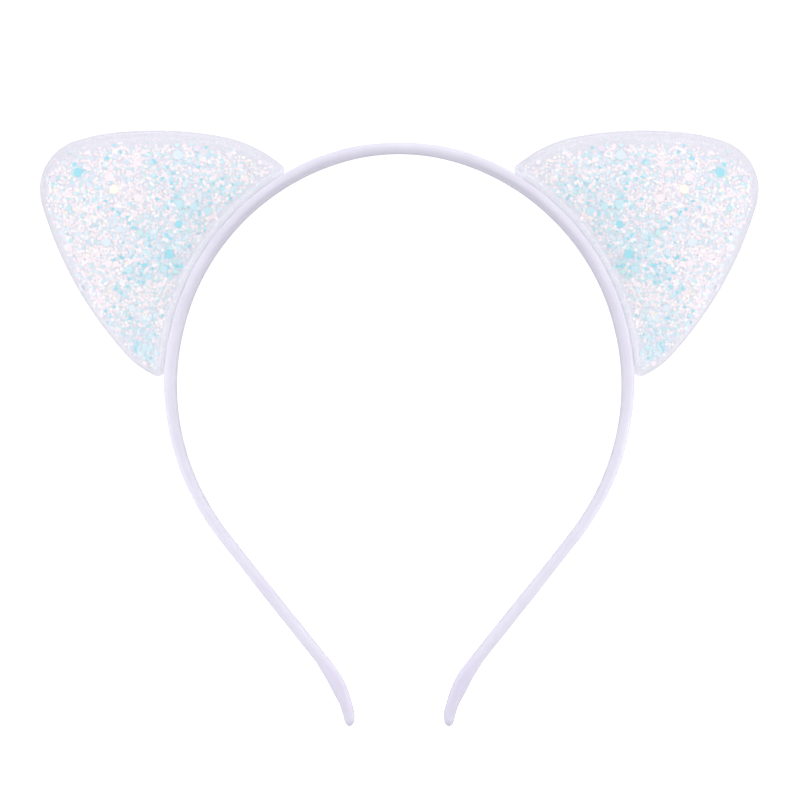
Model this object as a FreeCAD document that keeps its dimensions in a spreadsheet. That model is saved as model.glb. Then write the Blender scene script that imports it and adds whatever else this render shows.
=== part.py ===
import FreeCAD, Part
import math
import os
import Sketcher
from FreeCAD import Vector

# Animal ears headband: a satin-wrapped flexible band that is worn over the head
# from ear to ear, with two padded glitter ears glued to its outer edge.
#
# Frame: +Z up, +X to one side, the front of the ears faces -Y. The origin is on
# the lining's inner face at the middle of the crown, where the band sits on the
# top of the head. The band and both ears lie about the plane Y = 0. Everything
# on the -X side is called left, and the right side is its mirror image.
#
# Positions across the band are given as n, measured outward from the centreline
# of the satin cover, so n is negative on the side next to the head.

doc = FreeCAD.newDocument("animal_ears_headband")

# ---------------------------------------------------------------- driving sizes
sheet = doc.addObject("Spreadsheet::Sheet", "Sizes")
SIZES = [
    # centreline of one half of the band: tangent arcs from the crown to the tip
    ("seat_drop", 1.60, "centreline above the origin at the crown"),
    ("crown_bend", 56.8, "radius of the crown arc"),
    ("crown_turn", 17.45, "half angle of the crown arc, where the arm starts"),
    ("side_bend", 65.6, "radius of the side arc that carries the ear"),
    ("side_turn", 79.0, "turn of the side arc"),
    ("lower_bend", 69.2, "radius of the arc below the ear"),
    ("lower_turn", 32.15, "turn of the arc below the ear"),
    ("arm_straight", 44.9, "straight run of the lower arm"),
    ("flare_bend", 25.2, "radius of the outward flare at the tip"),
    ("flare_turn", 34.6, "turn of the flare up to the rounded end"),
    # layers of the band
    ("core_half", 0.93, "half thickness of the moulded core strip"),
    ("core_width", 7.26, "width of the core strip"),
    ("core_round", 0.6, "rounded edges of the core strip"),
    ("satin_half", 1.30, "half thickness over the satin cover"),
    ("satin_bore", 0.95, "half thickness of the hollow in the cover"),
    ("satin_width", 8.0, "width over the satin cover"),
    ("satin_bore_width", 7.3, "width of the hollow in the cover"),
    ("satin_round", 0.8, "rounded edges of the cover"),
    ("lining_near", 1.32, "lining ribbon starts this far inside the centreline"),
    ("lining_far", 1.60, "lining ribbon ends this far inside the centreline"),
    ("lining_width", 6.0, "width of the lining ribbon"),
    # flex line between crown and arm
    ("ball_radius", 1.5, "rounded end of every arm layer"),
    ("socket_radius", 1.6, "hollow end of every crown layer"),
    ("bore_ball", 2.4, "hollow of the arm's cover runs past its end"),
    ("bore_socket", 1.3, "hollow of the crown's cover runs past its end"),
    ("pivot_inset", 0.15, "flex axis inside the centreline"),
    ("bore_turn", 38.0, "hollow of the arm's cover runs past its tip"),
    # folded end sleeve
    ("fold_out", 1.50, "outside of the folded end"),
    ("fold_in", 1.85, "inside of the folded end, next to the head"),
    ("fold_width", 8.44, "width over the folded end"),
    ("fold_bore_out", 1.32, "hollow of the folded end, outer side"),
    ("fold_bore_in", 1.62, "hollow of the folded end, inner side"),
    ("fold_bore_width", 8.04, "width of the hollow in the folded end"),
    ("fold_bore_turn", 34.7, "hollow of the folded end stops just past the band"),
    ("fold_round", 0.3, "rounded edges of the folded end"),
    # outline of the ear: tangent arcs from the upper corner over the tip to the heel
    ("tip_x", -84.712, "centre of the ear's tip arc, sideways"),
    ("tip_z", -9.955, "centre of the ear's tip arc, height"),
    ("tip_from", 108.83, "direction in which the tip arc starts"),
    ("tip_bend", 14.16, "radius of the tip arc"),
    ("tip_turn", 87.23, "turn of the tip arc"),
    ("shoulder_bend", 47.14, "radius before the tip"),
    ("shoulder_turn", 11.45, "turn before the tip"),
    ("top_bend", 100.93, "radius of the nearly straight top"),
    ("top_turn", 17.74, "turn of the nearly straight top"),
    ("root_bend", 35.7, "radius of the upper corner's side"),
    ("flank_bend", 104.28, "radius of the outer flank"),
    ("flank_turn", 26.29, "turn of the outer flank"),
    ("heel_bend", 25.04, "radius down to the lower corner"),
    ("corner_round", 1.6, "rounding of both corners at the band"),
    ("glue_gap", 0.35, "ear's edge to the satin"),
    # ear build-up, depths from the ear's middle plane
    ("seam_gap", 0.02, "front and back sheet to the middle plane"),
    ("rim_zero", 0.0, "inset of the outer edge"),
    ("rim_width", 1.15, "flat pressed rim"),
    ("rim_front", 0.50, "front face of the rim"),
    ("rim_back", 0.42, "back face of the rim"),
    ("front_in_a", 1.75, "front dome, inset"),
    ("front_up_a", 2.15, "front dome, height"),
    ("front_in_b", 2.95, "front dome, inset"),
    ("front_up_b", 3.55, "front dome, height"),
    ("front_in_c", 4.70, "front dome, inset"),
    ("front_up_c", 4.60, "front dome, height"),
    ("hollow_in", 1.60, "opening in both sheets for the foam"),
    ("hollow_up", 0.0, "opening starts at the middle plane"),
    ("fhol_in_a", 2.20, "front hollow, inset"),
    ("fhol_up_a", 1.80, "front hollow, height"),
    ("fhol_in_b", 3.30, "front hollow, inset"),
    ("fhol_up_b", 3.10, "front hollow, height"),
    ("fhol_in_c", 4.90, "front hollow, inset"),
    ("fhol_up_c", 4.10, "front hollow, height"),
    ("back_in_a", 2.30, "back dome, inset"),
    ("back_up_a", 1.80, "back dome, height"),
    ("back_in_b", 4.30, "back dome, inset"),
    ("back_up_b", 2.80, "back dome, height"),
    ("bhol_in_a", 2.65, "back hollow, inset"),
    ("bhol_up_a", 1.45, "back hollow, height"),
    ("bhol_in_b", 4.45, "back hollow, inset"),
    ("bhol_up_b", 2.42, "back hollow, height"),
    ("foam_in", 1.66, "foam at the rim, inset"),
    ("foam_front_in_a", 2.26, "foam front, inset"),
    ("foam_front_up_a", 1.76, "foam front, height"),
    ("foam_front_in_b", 3.36, "foam front, inset"),
    ("foam_front_up_b", 3.05, "foam front, height"),
    ("foam_front_in_c", 4.96, "foam front, inset"),
    ("foam_front_up_c", 4.05, "foam front, height"),
    ("foam_back_in_a", 2.72, "foam back, inset"),
    ("foam_back_up_a", 1.40, "foam back, height"),
    ("foam_back_in_b", 4.52, "foam back, inset"),
    ("foam_back_up_b", 2.37, "foam back, height"),
    # bead of glue between satin and ear
    ("glue_near", 1.32, "glue starts this far outside the centreline"),
    ("glue_far", 1.63, "glue ends this far outside the centreline"),
    ("glue_width", 3.0, "width of the glue bead"),
    ("glue_from", 33.0, "glue starts where the band has turned this far"),
    ("glue_turn", 52.5, "length of the glue bead as a turn"),
]
for row, (alias, value, note) in enumerate(SIZES, start=1):
    sheet.set("A%d" % row, note)
    sheet.set("B%d" % row, str(value))
    sheet.setAlias("B%d" % row, alias)
doc.recompute()


def size(alias):
    """The number in the sheet's cell of that name."""
    return float(getattr(sheet, alias))


# ---------------------------------------------------------------- plane geometry
# Sketches lie in the XZ plane: their x is the part's X and their y is its Z.
def polar(angle, radius=1.0):
    a = math.radians(angle)
    return Vector(radius * math.cos(a), radius * math.sin(a), 0)


def heading(centre, point):
    d = point.sub(centre)
    return math.degrees(math.atan2(d.y, d.x))


def crossing(centre_a, radius_a, centre_b, radius_b, near):
    """Where two circles cross, the crossing nearest to a given point."""
    d = centre_b.sub(centre_a)
    span = d.Length
    along = (radius_a**2 - radius_b**2 + span**2) / (2 * span)
    side = math.sqrt(max(radius_a**2 - along**2, 0.0))
    d.normalize()
    foot = centre_a.add(Vector(d.x * along, d.y * along, 0))
    both = [
        foot.add(Vector(-d.y * side, d.x * side, 0)),
        foot.add(Vector(d.y * side, -d.x * side, 0)),
    ]
    return min(both, key=lambda p: p.sub(near).Length)


def arc(centre, radius, start, stop):
    while stop < start:
        stop += 360.0
    return Part.ArcOfCircle(
        Part.Circle(centre, Vector(0, 0, 1), radius),
        math.radians(start),
        math.radians(stop),
    )


# The band's outward normal points at 90 degrees plus the turn made so far.
TURN_1 = size("crown_turn")
TURN_2 = TURN_1 + size("side_turn")
TURN_3 = TURN_2 + size("lower_turn")
C1 = Vector(0, size("seat_drop") - size("crown_bend"), 0)
C2 = C1.add(polar(90 + TURN_1, size("crown_bend") - size("side_bend")))
C3 = C2.add(polar(90 + TURN_2, size("side_bend") - size("lower_bend")))
END_3 = C3.add(polar(90 + TURN_3, size("lower_bend")))
END_4 = END_3.add(polar(180 + TURN_3, size("arm_straight")))
C5 = END_4.add(polar(90 + TURN_3, size("flare_bend")))
PIVOT = C1.add(polar(90 + TURN_1, size("crown_bend") - size("pivot_inset")))
print("flex axis at x %.4f z %.4f mm" % (PIVOT.x, PIVOT.y))

C2_X = "-(Sizes.crown_bend - Sizes.side_bend) * sin(Sizes.crown_turn * 1 deg)"
C2_Y = (
    "Sizes.seat_drop - Sizes.crown_bend"
    " + (Sizes.crown_bend - Sizes.side_bend) * cos(Sizes.crown_turn * 1 deg)"
)
PIVOT_X = "-(Sizes.crown_bend - Sizes.pivot_inset) * sin(Sizes.crown_turn * 1 deg)"
PIVOT_Y = (
    "Sizes.seat_drop - Sizes.crown_bend"
    " + (Sizes.crown_bend - Sizes.pivot_inset) * cos(Sizes.crown_turn * 1 deg)"
)


# ---------------------------------------------------------------- document help
def new_body(label):
    body = doc.addObject("PartDesign::Body", label)
    body.Label = label
    return body


def new_sketch(body, name, offset=None, offset_size=0.0):
    """A sketch on the body's own XZ plane, at an offset towards the front."""
    sketch = body.newObject("Sketcher::SketchObject", name)
    plane = [f for f in body.Origin.OriginFeatures if f.Role == "XZ_Plane"][0]
    sketch.AttachmentSupport = [(plane, "")]
    sketch.MapMode = "FlatFace"
    if offset is not None:
        sketch.AttachmentOffset = FreeCAD.Placement(
            Vector(0, 0, offset_size), FreeCAD.Rotation()
        )
        sketch.setExpression("AttachmentOffset.Base.z", offset)
    return sketch


def bind(sketch, kind, places, value, name, expression):
    """A named dimension of a sketch, bound to the sheet."""
    index = sketch.addConstraint(Sketcher.Constraint(kind, *places, value))
    sketch.renameConstraint(index, name)
    sketch.setExpression("Constraints." + name, expression)


def join(sketch, kind, *places):
    sketch.addConstraint(Sketcher.Constraint(kind, *places))


def pin(sketch, geometry, centre, name, x_expression, y_expression):
    """Holds the centre of an arc at its place in the frame."""
    bind(
        sketch,
        "DistanceX",
        (-1, 1, geometry, 3),
        centre.x,
        name + "_x",
        x_expression,
    )
    bind(
        sketch,
        "DistanceY",
        (-1, 1, geometry, 3),
        centre.y,
        name + "_y",
        y_expression,
    )


def pad_even(body, name, sketch, width):
    """A pad that stands out equally to the front and the back."""
    pad = body.newObject("PartDesign::Pad", name)
    pad.Profile = sketch
    pad.SideType = "Symmetric"
    pad.Length = size(width)
    pad.setExpression("Length", "Sizes." + width)
    doc.recompute()
    return pad


def pocket_even(body, name, sketch, width):
    before = body.Shape.Volume
    pocket = body.newObject("PartDesign::Pocket", name)
    pocket.Profile = sketch
    pocket.Type = "Length"
    pocket.SideType = "Symmetric"
    pocket.Length = size(width)
    pocket.setExpression("Length", "Sizes." + width)
    doc.recompute()
    if body.Shape.Volume > before - 1.0:
        raise RuntimeError(name + " cuts nothing")
    return pocket


def round_long_edges(body, name, base, width, radius):
    """Rounds the edges that run along the strip, on its front and back faces."""
    half = size(width) / 2
    edges = []
    for number, edge in enumerate(base.Shape.Edges, start=1):
        middle = edge.valueAt((edge.FirstParameter + edge.LastParameter) / 2)
        if abs(abs(middle.y) - half) < 1e-6 and edge.Length > 8.0:
            edges.append("Edge%d" % number)
    fillet = body.newObject("PartDesign::Fillet", name)
    fillet.Base = (base, edges)
    fillet.Radius = size(radius)
    fillet.setExpression("Radius", "Sizes." + radius)
    doc.recompute()
    return fillet


# ---------------------------------------------------------------- band layers
def crown_outline(sketch, out, inn, socket):
    """One layer of the crown, between two offsets of the crown arc, with a hollow
    end about each flex axis. out and inn are (size with its sign, expression)."""
    r_out = size("crown_bend") + out[0]
    r_in = size("crown_bend") + inn[0]
    r_end = size(socket)
    left = Vector(PIVOT)
    near_out = C1.add(polar(90 + TURN_1 - 2.0, r_out))
    near_in = C1.add(polar(90 + TURN_1 - 2.0, r_in))
    p_out = crossing(C1, r_out, left, r_end, near_out)
    p_in = crossing(C1, r_in, left, r_end, near_in)
    right = Vector(-left.x, left.y, 0)
    a_out, a_in = heading(C1, p_out), heading(C1, p_in)
    e_out, e_in = heading(left, p_out), heading(left, p_in)
    sketch.addGeometry(
        [
            arc(C1, r_out, 180 - a_out, a_out),
            arc(left, r_end, e_in, e_out),
            arc(C1, r_in, 180 - a_in, a_in),
            arc(right, r_end, 180 - e_out, 180 - e_in),
        ],
        False,
    )
    join(sketch, "Coincident", 0, 2, 1, 2)
    join(sketch, "Coincident", 2, 2, 1, 1)
    join(sketch, "Coincident", 0, 1, 3, 1)
    join(sketch, "Coincident", 2, 1, 3, 2)
    for g, name in ((0, "outer"), (2, "inner")):
        join(sketch, "PointOnObject", g, 3, -2)
        bind(
            sketch,
            "DistanceY",
            (-1, 1, g, 3),
            C1.y,
            name + "_centre",
            "Sizes.seat_drop - Sizes.crown_bend",
        )
    bind(sketch, "Radius", (0,), r_out, "outer_radius", "Sizes.crown_bend" + out[1])
    bind(sketch, "Radius", (2,), r_in, "inner_radius", "Sizes.crown_bend" + inn[1])
    pin(sketch, 1, left, "left_axis", PIVOT_X, PIVOT_Y)
    pin(sketch, 3, right, "right_axis", "-(" + PIVOT_X + ")", PIVOT_Y)
    bind(sketch, "Radius", (1,), r_end, "left_end", "Sizes." + socket)
    bind(sketch, "Radius", (3,), r_end, "right_end", "Sizes." + socket)


def side_chain(sketch, first, offset, p_start, turn):
    """One edge line of the arm at an offset: side arc, lower arc, straight run and
    flare, each tangent to the next. Returns nothing; takes four geometry places."""
    n = offset[0]
    start = heading(C2, p_start)
    run_a = END_3.add(polar(90 + TURN_3, n))
    run_b = END_4.add(polar(90 + TURN_3, n))
    sketch.addGeometry(
        [
            arc(C2, size("side_bend") + n, start, 90 + TURN_2),
            arc(C3, size("lower_bend") + n, 90 + TURN_2, 90 + TURN_3),
            Part.LineSegment(run_a, run_b),
            arc(
                C5,
                size("flare_bend") - n,
                270 + TURN_3 - size(turn),
                270 + TURN_3,
            ),
        ],
        False,
    )
    a, b, c, d = first, first + 1, first + 2, first + 3
    join(sketch, "Tangent", a, 2, b, 1)
    join(sketch, "Tangent", b, 2, c, 1)
    join(sketch, "Tangent", c, 2, d, 2)
    tag = "edge%d_" % first
    bind(
        sketch,
        "Radius",
        (a,),
        size("side_bend") + n,
        tag + "side",
        "Sizes.side_bend" + offset[1],
    )
    bind(
        sketch,
        "Radius",
        (b,),
        size("lower_bend") + n,
        tag + "lower",
        "Sizes.lower_bend" + offset[1],
    )
    bind(
        sketch,
        "Radius",
        (d,),
        size("flare_bend") - n,
        tag + "flare",
        "Sizes.flare_bend - (0" + offset[1] + ")",
    )
    bind(
        sketch,
        "Angle",
        (b,),
        math.radians(size("lower_turn")),
        tag + "lower_turn",
        "Sizes.lower_turn * 1 deg",
    )
    bind(
        sketch,
        "Angle",
        (d,),
        math.radians(size(turn)),
        tag + "flare_turn",
        "Sizes." + turn + " * 1 deg",
    )
    bind(
        sketch,
        "Distance",
        (c,),
        size("arm_straight"),
        tag + "straight",
        "Sizes.arm_straight",
    )
    bind(
        sketch,
        "DistanceX",
        (c, 1, c, 2),
        run_b.x - run_a.x,
        tag + "reach",
        "-Sizes.arm_straight * cos((Sizes.crown_turn + Sizes.side_turn"
        " + Sizes.lower_turn) * 1 deg)",
    )
    pin(sketch, a, C2, tag + "centre", C2_X, C2_Y)


def arm_outline(sketch, out, inn, ball, turn):
    """One layer of the left arm, between two offsets of the centreline, with a
    rounded end about the flex axis and a square end at the tip."""
    r_end = size(ball)
    r_out = size("side_bend") + out[0]
    r_in = size("side_bend") + inn[0]
    back = 90 + TURN_1 - 2.0
    p_out = crossing(C2, r_out, PIVOT, r_end, C2.add(polar(back, r_out)))
    p_in = crossing(C2, r_in, PIVOT, r_end, C2.add(polar(back, r_in)))
    side_chain(sketch, 0, out, p_out, turn)
    side_chain(sketch, 4, inn, p_in, turn)
    tip = 270 + TURN_3 - size(turn)
    tip_out = C5.add(polar(tip, size("flare_bend") - out[0]))
    tip_in = C5.add(polar(tip, size("flare_bend") - inn[0]))
    sketch.addGeometry(
        [
            Part.LineSegment(tip_out, tip_in),
            arc(PIVOT, r_end, heading(PIVOT, p_in), heading(PIVOT, p_out)),
        ],
        False,
    )
    join(sketch, "Coincident", 3, 1, 8, 1)
    join(sketch, "Coincident", 7, 1, 8, 2)
    join(sketch, "Coincident", 0, 1, 9, 2)
    join(sketch, "Coincident", 4, 1, 9, 1)
    pin(sketch, 9, PIVOT, "flex_axis", PIVOT_X, PIVOT_Y)
    bind(sketch, "Radius", (9,), r_end, "flex_end", "Sizes." + ball)


def outward(alias):
    return size(alias), " + Sizes." + alias


def inward(alias):
    return -size(alias), " - Sizes." + alias


# Core strip: moulded springy plastic, hidden inside the satin.
core_crown = new_body("core_crown")
sketch = new_sketch(core_crown, "core_crown_side")
crown_outline(sketch, outward("core_half"), inward("core_half"), "socket_radius")
pad = pad_even(core_crown, "core_crown_strip", sketch, "core_width")
round_long_edges(core_crown, "core_crown_edges", pad, "core_width", "core_round")

core_arm = new_body("core_left_arm")
sketch = new_sketch(core_arm, "core_arm_side")
arm_outline(
    sketch, outward("core_half"), inward("core_half"), "ball_radius", "flare_turn"
)
pad = pad_even(core_arm, "core_arm_strip", sketch, "core_width")
round_long_edges(core_arm, "core_arm_edges", pad, "core_width", "core_round")

# Satin cover: a thin closed wrap round the core.
satin_crown = new_body("satin_crown")
sketch = new_sketch(satin_crown, "satin_crown_side")
crown_outline(sketch, outward("satin_half"), inward("satin_half"), "socket_radius")
pad = pad_even(satin_crown, "satin_crown_wrap", sketch, "satin_width")
round_long_edges(satin_crown, "satin_crown_edges", pad, "satin_width", "satin_round")
sketch = new_sketch(satin_crown, "satin_crown_hollow_side")
crown_outline(sketch, outward("satin_bore"), inward("satin_bore"), "bore_socket")
pocket_even(satin_crown, "satin_crown_hollow", sketch, "satin_bore_width")

satin_arm = new_body("satin_left_arm")
sketch = new_sketch(satin_arm, "satin_arm_side")
arm_outline(
    sketch, outward("satin_half"), inward("satin_half"), "ball_radius", "flare_turn"
)
pad = pad_even(satin_arm, "satin_arm_wrap", sketch, "satin_width")
round_long_edges(satin_arm, "satin_arm_edges", pad, "satin_width", "satin_round")
sketch = new_sketch(satin_arm, "satin_arm_hollow_side")
arm_outline(
    sketch, outward("satin_bore"), inward("satin_bore"), "bore_ball", "bore_turn"
)
pocket_even(satin_arm, "satin_arm_hollow", sketch, "satin_bore_width")

# Lining: a flat ribbon glued along the inner face, over the satin's seam.
lining_crown = new_body("lining_crown")
sketch = new_sketch(lining_crown, "lining_crown_side")
crown_outline(sketch, inward("lining_near"), inward("lining_far"), "socket_radius")
pad_even(lining_crown, "lining_crown_ribbon", sketch, "lining_width")

lining_arm = new_body("lining_left_arm")
sketch = new_sketch(lining_arm, "lining_arm_side")
arm_outline(
    sketch, inward("lining_near"), inward("lining_far"), "ball_radius", "flare_turn"
)
pad_even(lining_arm, "lining_arm_ribbon", sketch, "lining_width")


# Folded end: satin turned back over the tip, a sleeve closed at its lower end.
def flare_outline(sketch, out, inn, turn, closed_round):
    stop = 270 + TURN_3
    start = stop - size(turn)
    r_out = size("flare_bend") - out[0]
    r_in = size("flare_bend") - inn[0]
    parts = [
        arc(C5, r_out, start, stop),
        arc(C5, r_in, start, stop),
        Part.LineSegment(C5.add(polar(stop, r_out)), C5.add(polar(stop, r_in))),
    ]
    if closed_round:
        middle = C5.add(polar(start, (r_out + r_in) / 2))
        parts.append(arc(middle, abs(r_in - r_out) / 2, start + 180, start + 360))
    else:
        parts.append(
            Part.LineSegment(C5.add(polar(start, r_out)), C5.add(polar(start, r_in)))
        )
    sketch.addGeometry(parts, False)
    join(sketch, "Coincident", 0, 2, 2, 1)
    join(sketch, "Coincident", 1, 2, 2, 2)
    join(sketch, "Coincident", 0, 3, 1, 3)
    join(sketch, "Coincident", 0, 1, 3, 1)
    join(sketch, "Coincident", 1, 1, 3, 2)
    bind(
        sketch, "Radius", (0,), r_out, "outside", "Sizes.flare_bend - (0" + out[1] + ")"
    )
    bind(sketch, "Radius", (1,), r_in, "inside", "Sizes.flare_bend - (0" + inn[1] + ")")


end_fold = new_body("end_fold_left")
sketch = new_sketch(end_fold, "end_fold_side")
flare_outline(sketch, outward("fold_out"), inward("fold_in"), "flare_turn", True)
pad = pad_even(end_fold, "end_fold_sleeve", sketch, "fold_width")
round_long_edges(end_fold, "end_fold_edges", pad, "fold_width", "fold_round")
sketch = new_sketch(end_fold, "end_fold_hollow_side")
flare_outline(
    sketch, outward("fold_bore_out"), inward("fold_bore_in"), "fold_bore_turn", False
)
pocket_even(end_fold, "end_fold_hollow", sketch, "fold_bore_width")


# ---------------------------------------------------------------- ear outline
TIP = Vector(size("tip_x"), size("tip_z"), 0)
A_TIP = size("tip_from")
A_SHOULDER = A_TIP - size("shoulder_turn")
A_TOP = A_SHOULDER - size("top_turn")
A_FLANK = A_TIP + size("tip_turn")
A_HEEL = A_FLANK + size("flank_turn")
C_SHOULDER = TIP.add(polar(A_TIP, size("tip_bend") - size("shoulder_bend")))
C_TOP = C_SHOULDER.add(polar(A_SHOULDER, size("shoulder_bend") - size("top_bend")))
C_ROOT = C_TOP.add(polar(A_TOP, size("top_bend") - size("root_bend")))
C_FLANK = TIP.add(polar(A_FLANK, size("tip_bend") - size("flank_bend")))
C_HEEL = C_FLANK.add(polar(A_HEEL, size("flank_bend") - size("heel_bend")))
BASE = "Sizes.side_bend + Sizes.satin_half + Sizes.glue_gap"


def ear_outline(body, name, inset, depth, sign):
    """The ear's outline moved inward by one cell's size, in a plane at another
    cell's distance from the middle plane. Nine tangent arcs: root, top, shoulder,
    tip, flank, heel, lower corner, the edge along the band, upper corner."""
    move = size(inset)
    offset = ("" if sign > 0 else "-") + "Sizes." + depth
    sketch = new_sketch(body, name, offset, sign * size(depth))
    r_corner = size("corner_round")
    r_base = size("side_bend") + size("satin_half") + size("glue_gap") + move
    r_root = size("root_bend") - move
    r_heel = size("heel_bend") - move
    upper = crossing(
        C_ROOT,
        r_root - r_corner,
        C2,
        r_base + r_corner,
        Vector(-31, -5, 0),
    )
    lower = crossing(
        C_HEEL,
        r_heel - r_corner,
        C2,
        r_base + r_corner,
        Vector(-65, -61, 0),
    )
    a_root = heading(C_ROOT, upper)
    a_heel = heading(C_HEEL, lower) % 360
    if not (a_root < A_TOP and a_heel > A_HEEL):
        raise RuntimeError(name + " is inset too far for its arcs")
    on_base_up = heading(C2, upper) % 360
    on_base_low = heading(C2, lower) % 360
    sketch.addGeometry(
        [
            arc(C_ROOT, r_root, a_root, A_TOP),
            arc(C_TOP, size("top_bend") - move, A_TOP, A_SHOULDER),
            arc(C_SHOULDER, size("shoulder_bend") - move, A_SHOULDER, A_TIP),
            arc(TIP, size("tip_bend") - move, A_TIP, A_FLANK),
            arc(C_FLANK, size("flank_bend") - move, A_FLANK, A_HEEL),
            arc(C_HEEL, r_heel, A_HEEL, a_heel),
            arc(lower, r_corner, a_heel, on_base_low + 180),
            arc(C2, r_base, on_base_up, on_base_low),
            arc(upper, r_corner, on_base_up + 180, a_root + 360),
        ],
        False,
    )
    for g in range(5):
        join(sketch, "Tangent", g, 2, g + 1, 1)
    join(sketch, "Tangent", 5, 2, 6, 1)
    join(sketch, "Tangent", 6, 2, 7, 2)
    join(sketch, "Tangent", 7, 1, 8, 1)
    join(sketch, "Tangent", 8, 2, 0, 1)
    for g, bend in enumerate(
        ["root_bend", "top_bend", "shoulder_bend", "tip_bend", "flank_bend"]
    ):
        bind(
            sketch,
            "Radius",
            (g,),
            size(bend) - move,
            bend,
            "Sizes." + bend + " - Sizes." + inset,
        )
    bind(
        sketch,
        "Radius",
        (5,),
        r_heel,
        "heel_bend",
        "Sizes.heel_bend - Sizes." + inset,
    )
    bind(sketch, "Radius", (6,), r_corner, "lower_corner", "Sizes.corner_round")
    bind(sketch, "Radius", (8,), r_corner, "upper_corner", "Sizes.corner_round")
    bind(sketch, "Radius", (7,), r_base, "base", BASE + " + Sizes." + inset)
    for g, turn in (
        (1, "top_turn"),
        (2, "shoulder_turn"),
        (3, "tip_turn"),
        (4, "flank_turn"),
    ):
        bind(
            sketch,
            "Angle",
            (g,),
            math.radians(size(turn)),
            turn,
            "Sizes." + turn + " * 1 deg",
        )
    pin(sketch, 3, TIP, "tip", "Sizes.tip_x", "Sizes.tip_z")
    bind(
        sketch,
        "DistanceX",
        (3, 3, 3, 1),
        (size("tip_bend") - move) * math.cos(math.radians(A_TIP)),
        "tip_from",
        "(Sizes.tip_bend - Sizes." + inset + ") * cos(Sizes.tip_from * 1 deg)",
    )
    pin(sketch, 7, C2, "band", C2_X, C2_Y)
    return sketch


def loft(body, kind, name, stations):
    """A loft through inset outlines. stations are (inset cell, depth cell, sign)."""
    sketches = [
        ear_outline(body, "%s_%d" % (name, i), inset, depth, sign)
        for i, (inset, depth, sign) in enumerate(stations, start=1)
    ]
    before = body.Shape.Volume if kind == "PartDesign::SubtractiveLoft" else 0
    feature = body.newObject(kind, name)
    feature.Profile = sketches[0]
    feature.Sections = sketches[1:]
    feature.Ruled = True
    doc.recompute()
    if kind == "PartDesign::SubtractiveLoft" and body.Shape.Volume > before - 1.0:
        raise RuntimeError(name + " cuts nothing")
    return feature


def rim(body, name, thickness, sign):
    """The flat pressed rim of one sheet: the whole outline, one sheet thick."""
    sketch = ear_outline(body, name + "_outline", "rim_zero", "seam_gap", sign)
    pad = body.newObject("PartDesign::Pad", name)
    pad.Profile = sketch
    pad.Length = size(thickness) - size("seam_gap")
    pad.setExpression("Length", "Sizes." + thickness + " - Sizes.seam_gap")
    pad.Reversed = sign < 0
    doc.recompute()
    return pad


# Front sheet: glitter fabric pressed over the foam into a low pillow.
ear_front = new_body("ear_front_left")
rim(ear_front, "front_rim", "rim_front", 1)
loft(
    ear_front,
    "PartDesign::AdditiveLoft",
    "front_dome",
    [
        ("rim_width", "rim_front", 1),
        ("front_in_a", "front_up_a", 1),
        ("front_in_b", "front_up_b", 1),
        ("front_in_c", "front_up_c", 1),
    ],
)
loft(
    ear_front,
    "PartDesign::SubtractiveLoft",
    "front_hollow",
    [
        ("hollow_in", "hollow_up", 1),
        ("hollow_in", "rim_front", 1),
        ("fhol_in_a", "fhol_up_a", 1),
        ("fhol_in_b", "fhol_up_b", 1),
        ("fhol_in_c", "fhol_up_c", 1),
    ],
)

# Back sheet: plain cloth over the back of the foam, flatter than the front.
ear_back = new_body("ear_back_left")
rim(ear_back, "back_rim", "rim_back", -1)
loft(
    ear_back,
    "PartDesign::AdditiveLoft",
    "back_dome",
    [
        ("rim_width", "rim_back", -1),
        ("back_in_a", "back_up_a", -1),
        ("back_in_b", "back_up_b", -1),
    ],
)
loft(
    ear_back,
    "PartDesign::SubtractiveLoft",
    "back_hollow",
    [
        ("hollow_in", "hollow_up", -1),
        ("hollow_in", "rim_back", -1),
        ("bhol_in_a", "bhol_up_a", -1),
        ("bhol_in_b", "bhol_up_b", -1),
    ],
)

# Foam pad sealed between the two sheets.
ear_foam = new_body("ear_foam_left")
loft(
    ear_foam,
    "PartDesign::AdditiveLoft",
    "foam_pad",
    [
        ("foam_front_in_c", "foam_front_up_c", 1),
        ("foam_front_in_b", "foam_front_up_b", 1),
        ("foam_front_in_a", "foam_front_up_a", 1),
        ("foam_in", "rim_front", 1),
        ("foam_in", "rim_back", -1),
        ("foam_back_in_a", "foam_back_up_a", -1),
        ("foam_back_in_b", "foam_back_up_b", -1),
    ],
)

# Bead of hot glue that holds the ear's edge on the satin.
ear_glue = new_body("ear_glue_left")
sketch = new_sketch(ear_glue, "glue_side")
r_near = size("side_bend") + size("glue_near")
r_far = size("side_bend") + size("glue_far")
a_from = 90 + size("glue_from")
a_to = a_from + size("glue_turn")
sketch.addGeometry(
    [
        arc(C2, r_near, a_from, a_to),
        arc(C2, r_far, a_from, a_to),
        Part.LineSegment(C2.add(polar(a_from, r_near)), C2.add(polar(a_from, r_far))),
        Part.LineSegment(C2.add(polar(a_to, r_near)), C2.add(polar(a_to, r_far))),
    ],
    False,
)
join(sketch, "Coincident", 0, 1, 2, 1)
join(sketch, "Coincident", 1, 1, 2, 2)
join(sketch, "Coincident", 0, 2, 3, 1)
join(sketch, "Coincident", 1, 2, 3, 2)
join(sketch, "Coincident", 0, 3, 1, 3)
bind(sketch, "Radius", (0,), r_near, "near", "Sizes.side_bend + Sizes.glue_near")
bind(sketch, "Radius", (1,), r_far, "far", "Sizes.side_bend + Sizes.glue_far")
pin(sketch, 0, C2, "band", C2_X, C2_Y)
pad_even(ear_glue, "glue_bead", sketch, "glue_width")

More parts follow.
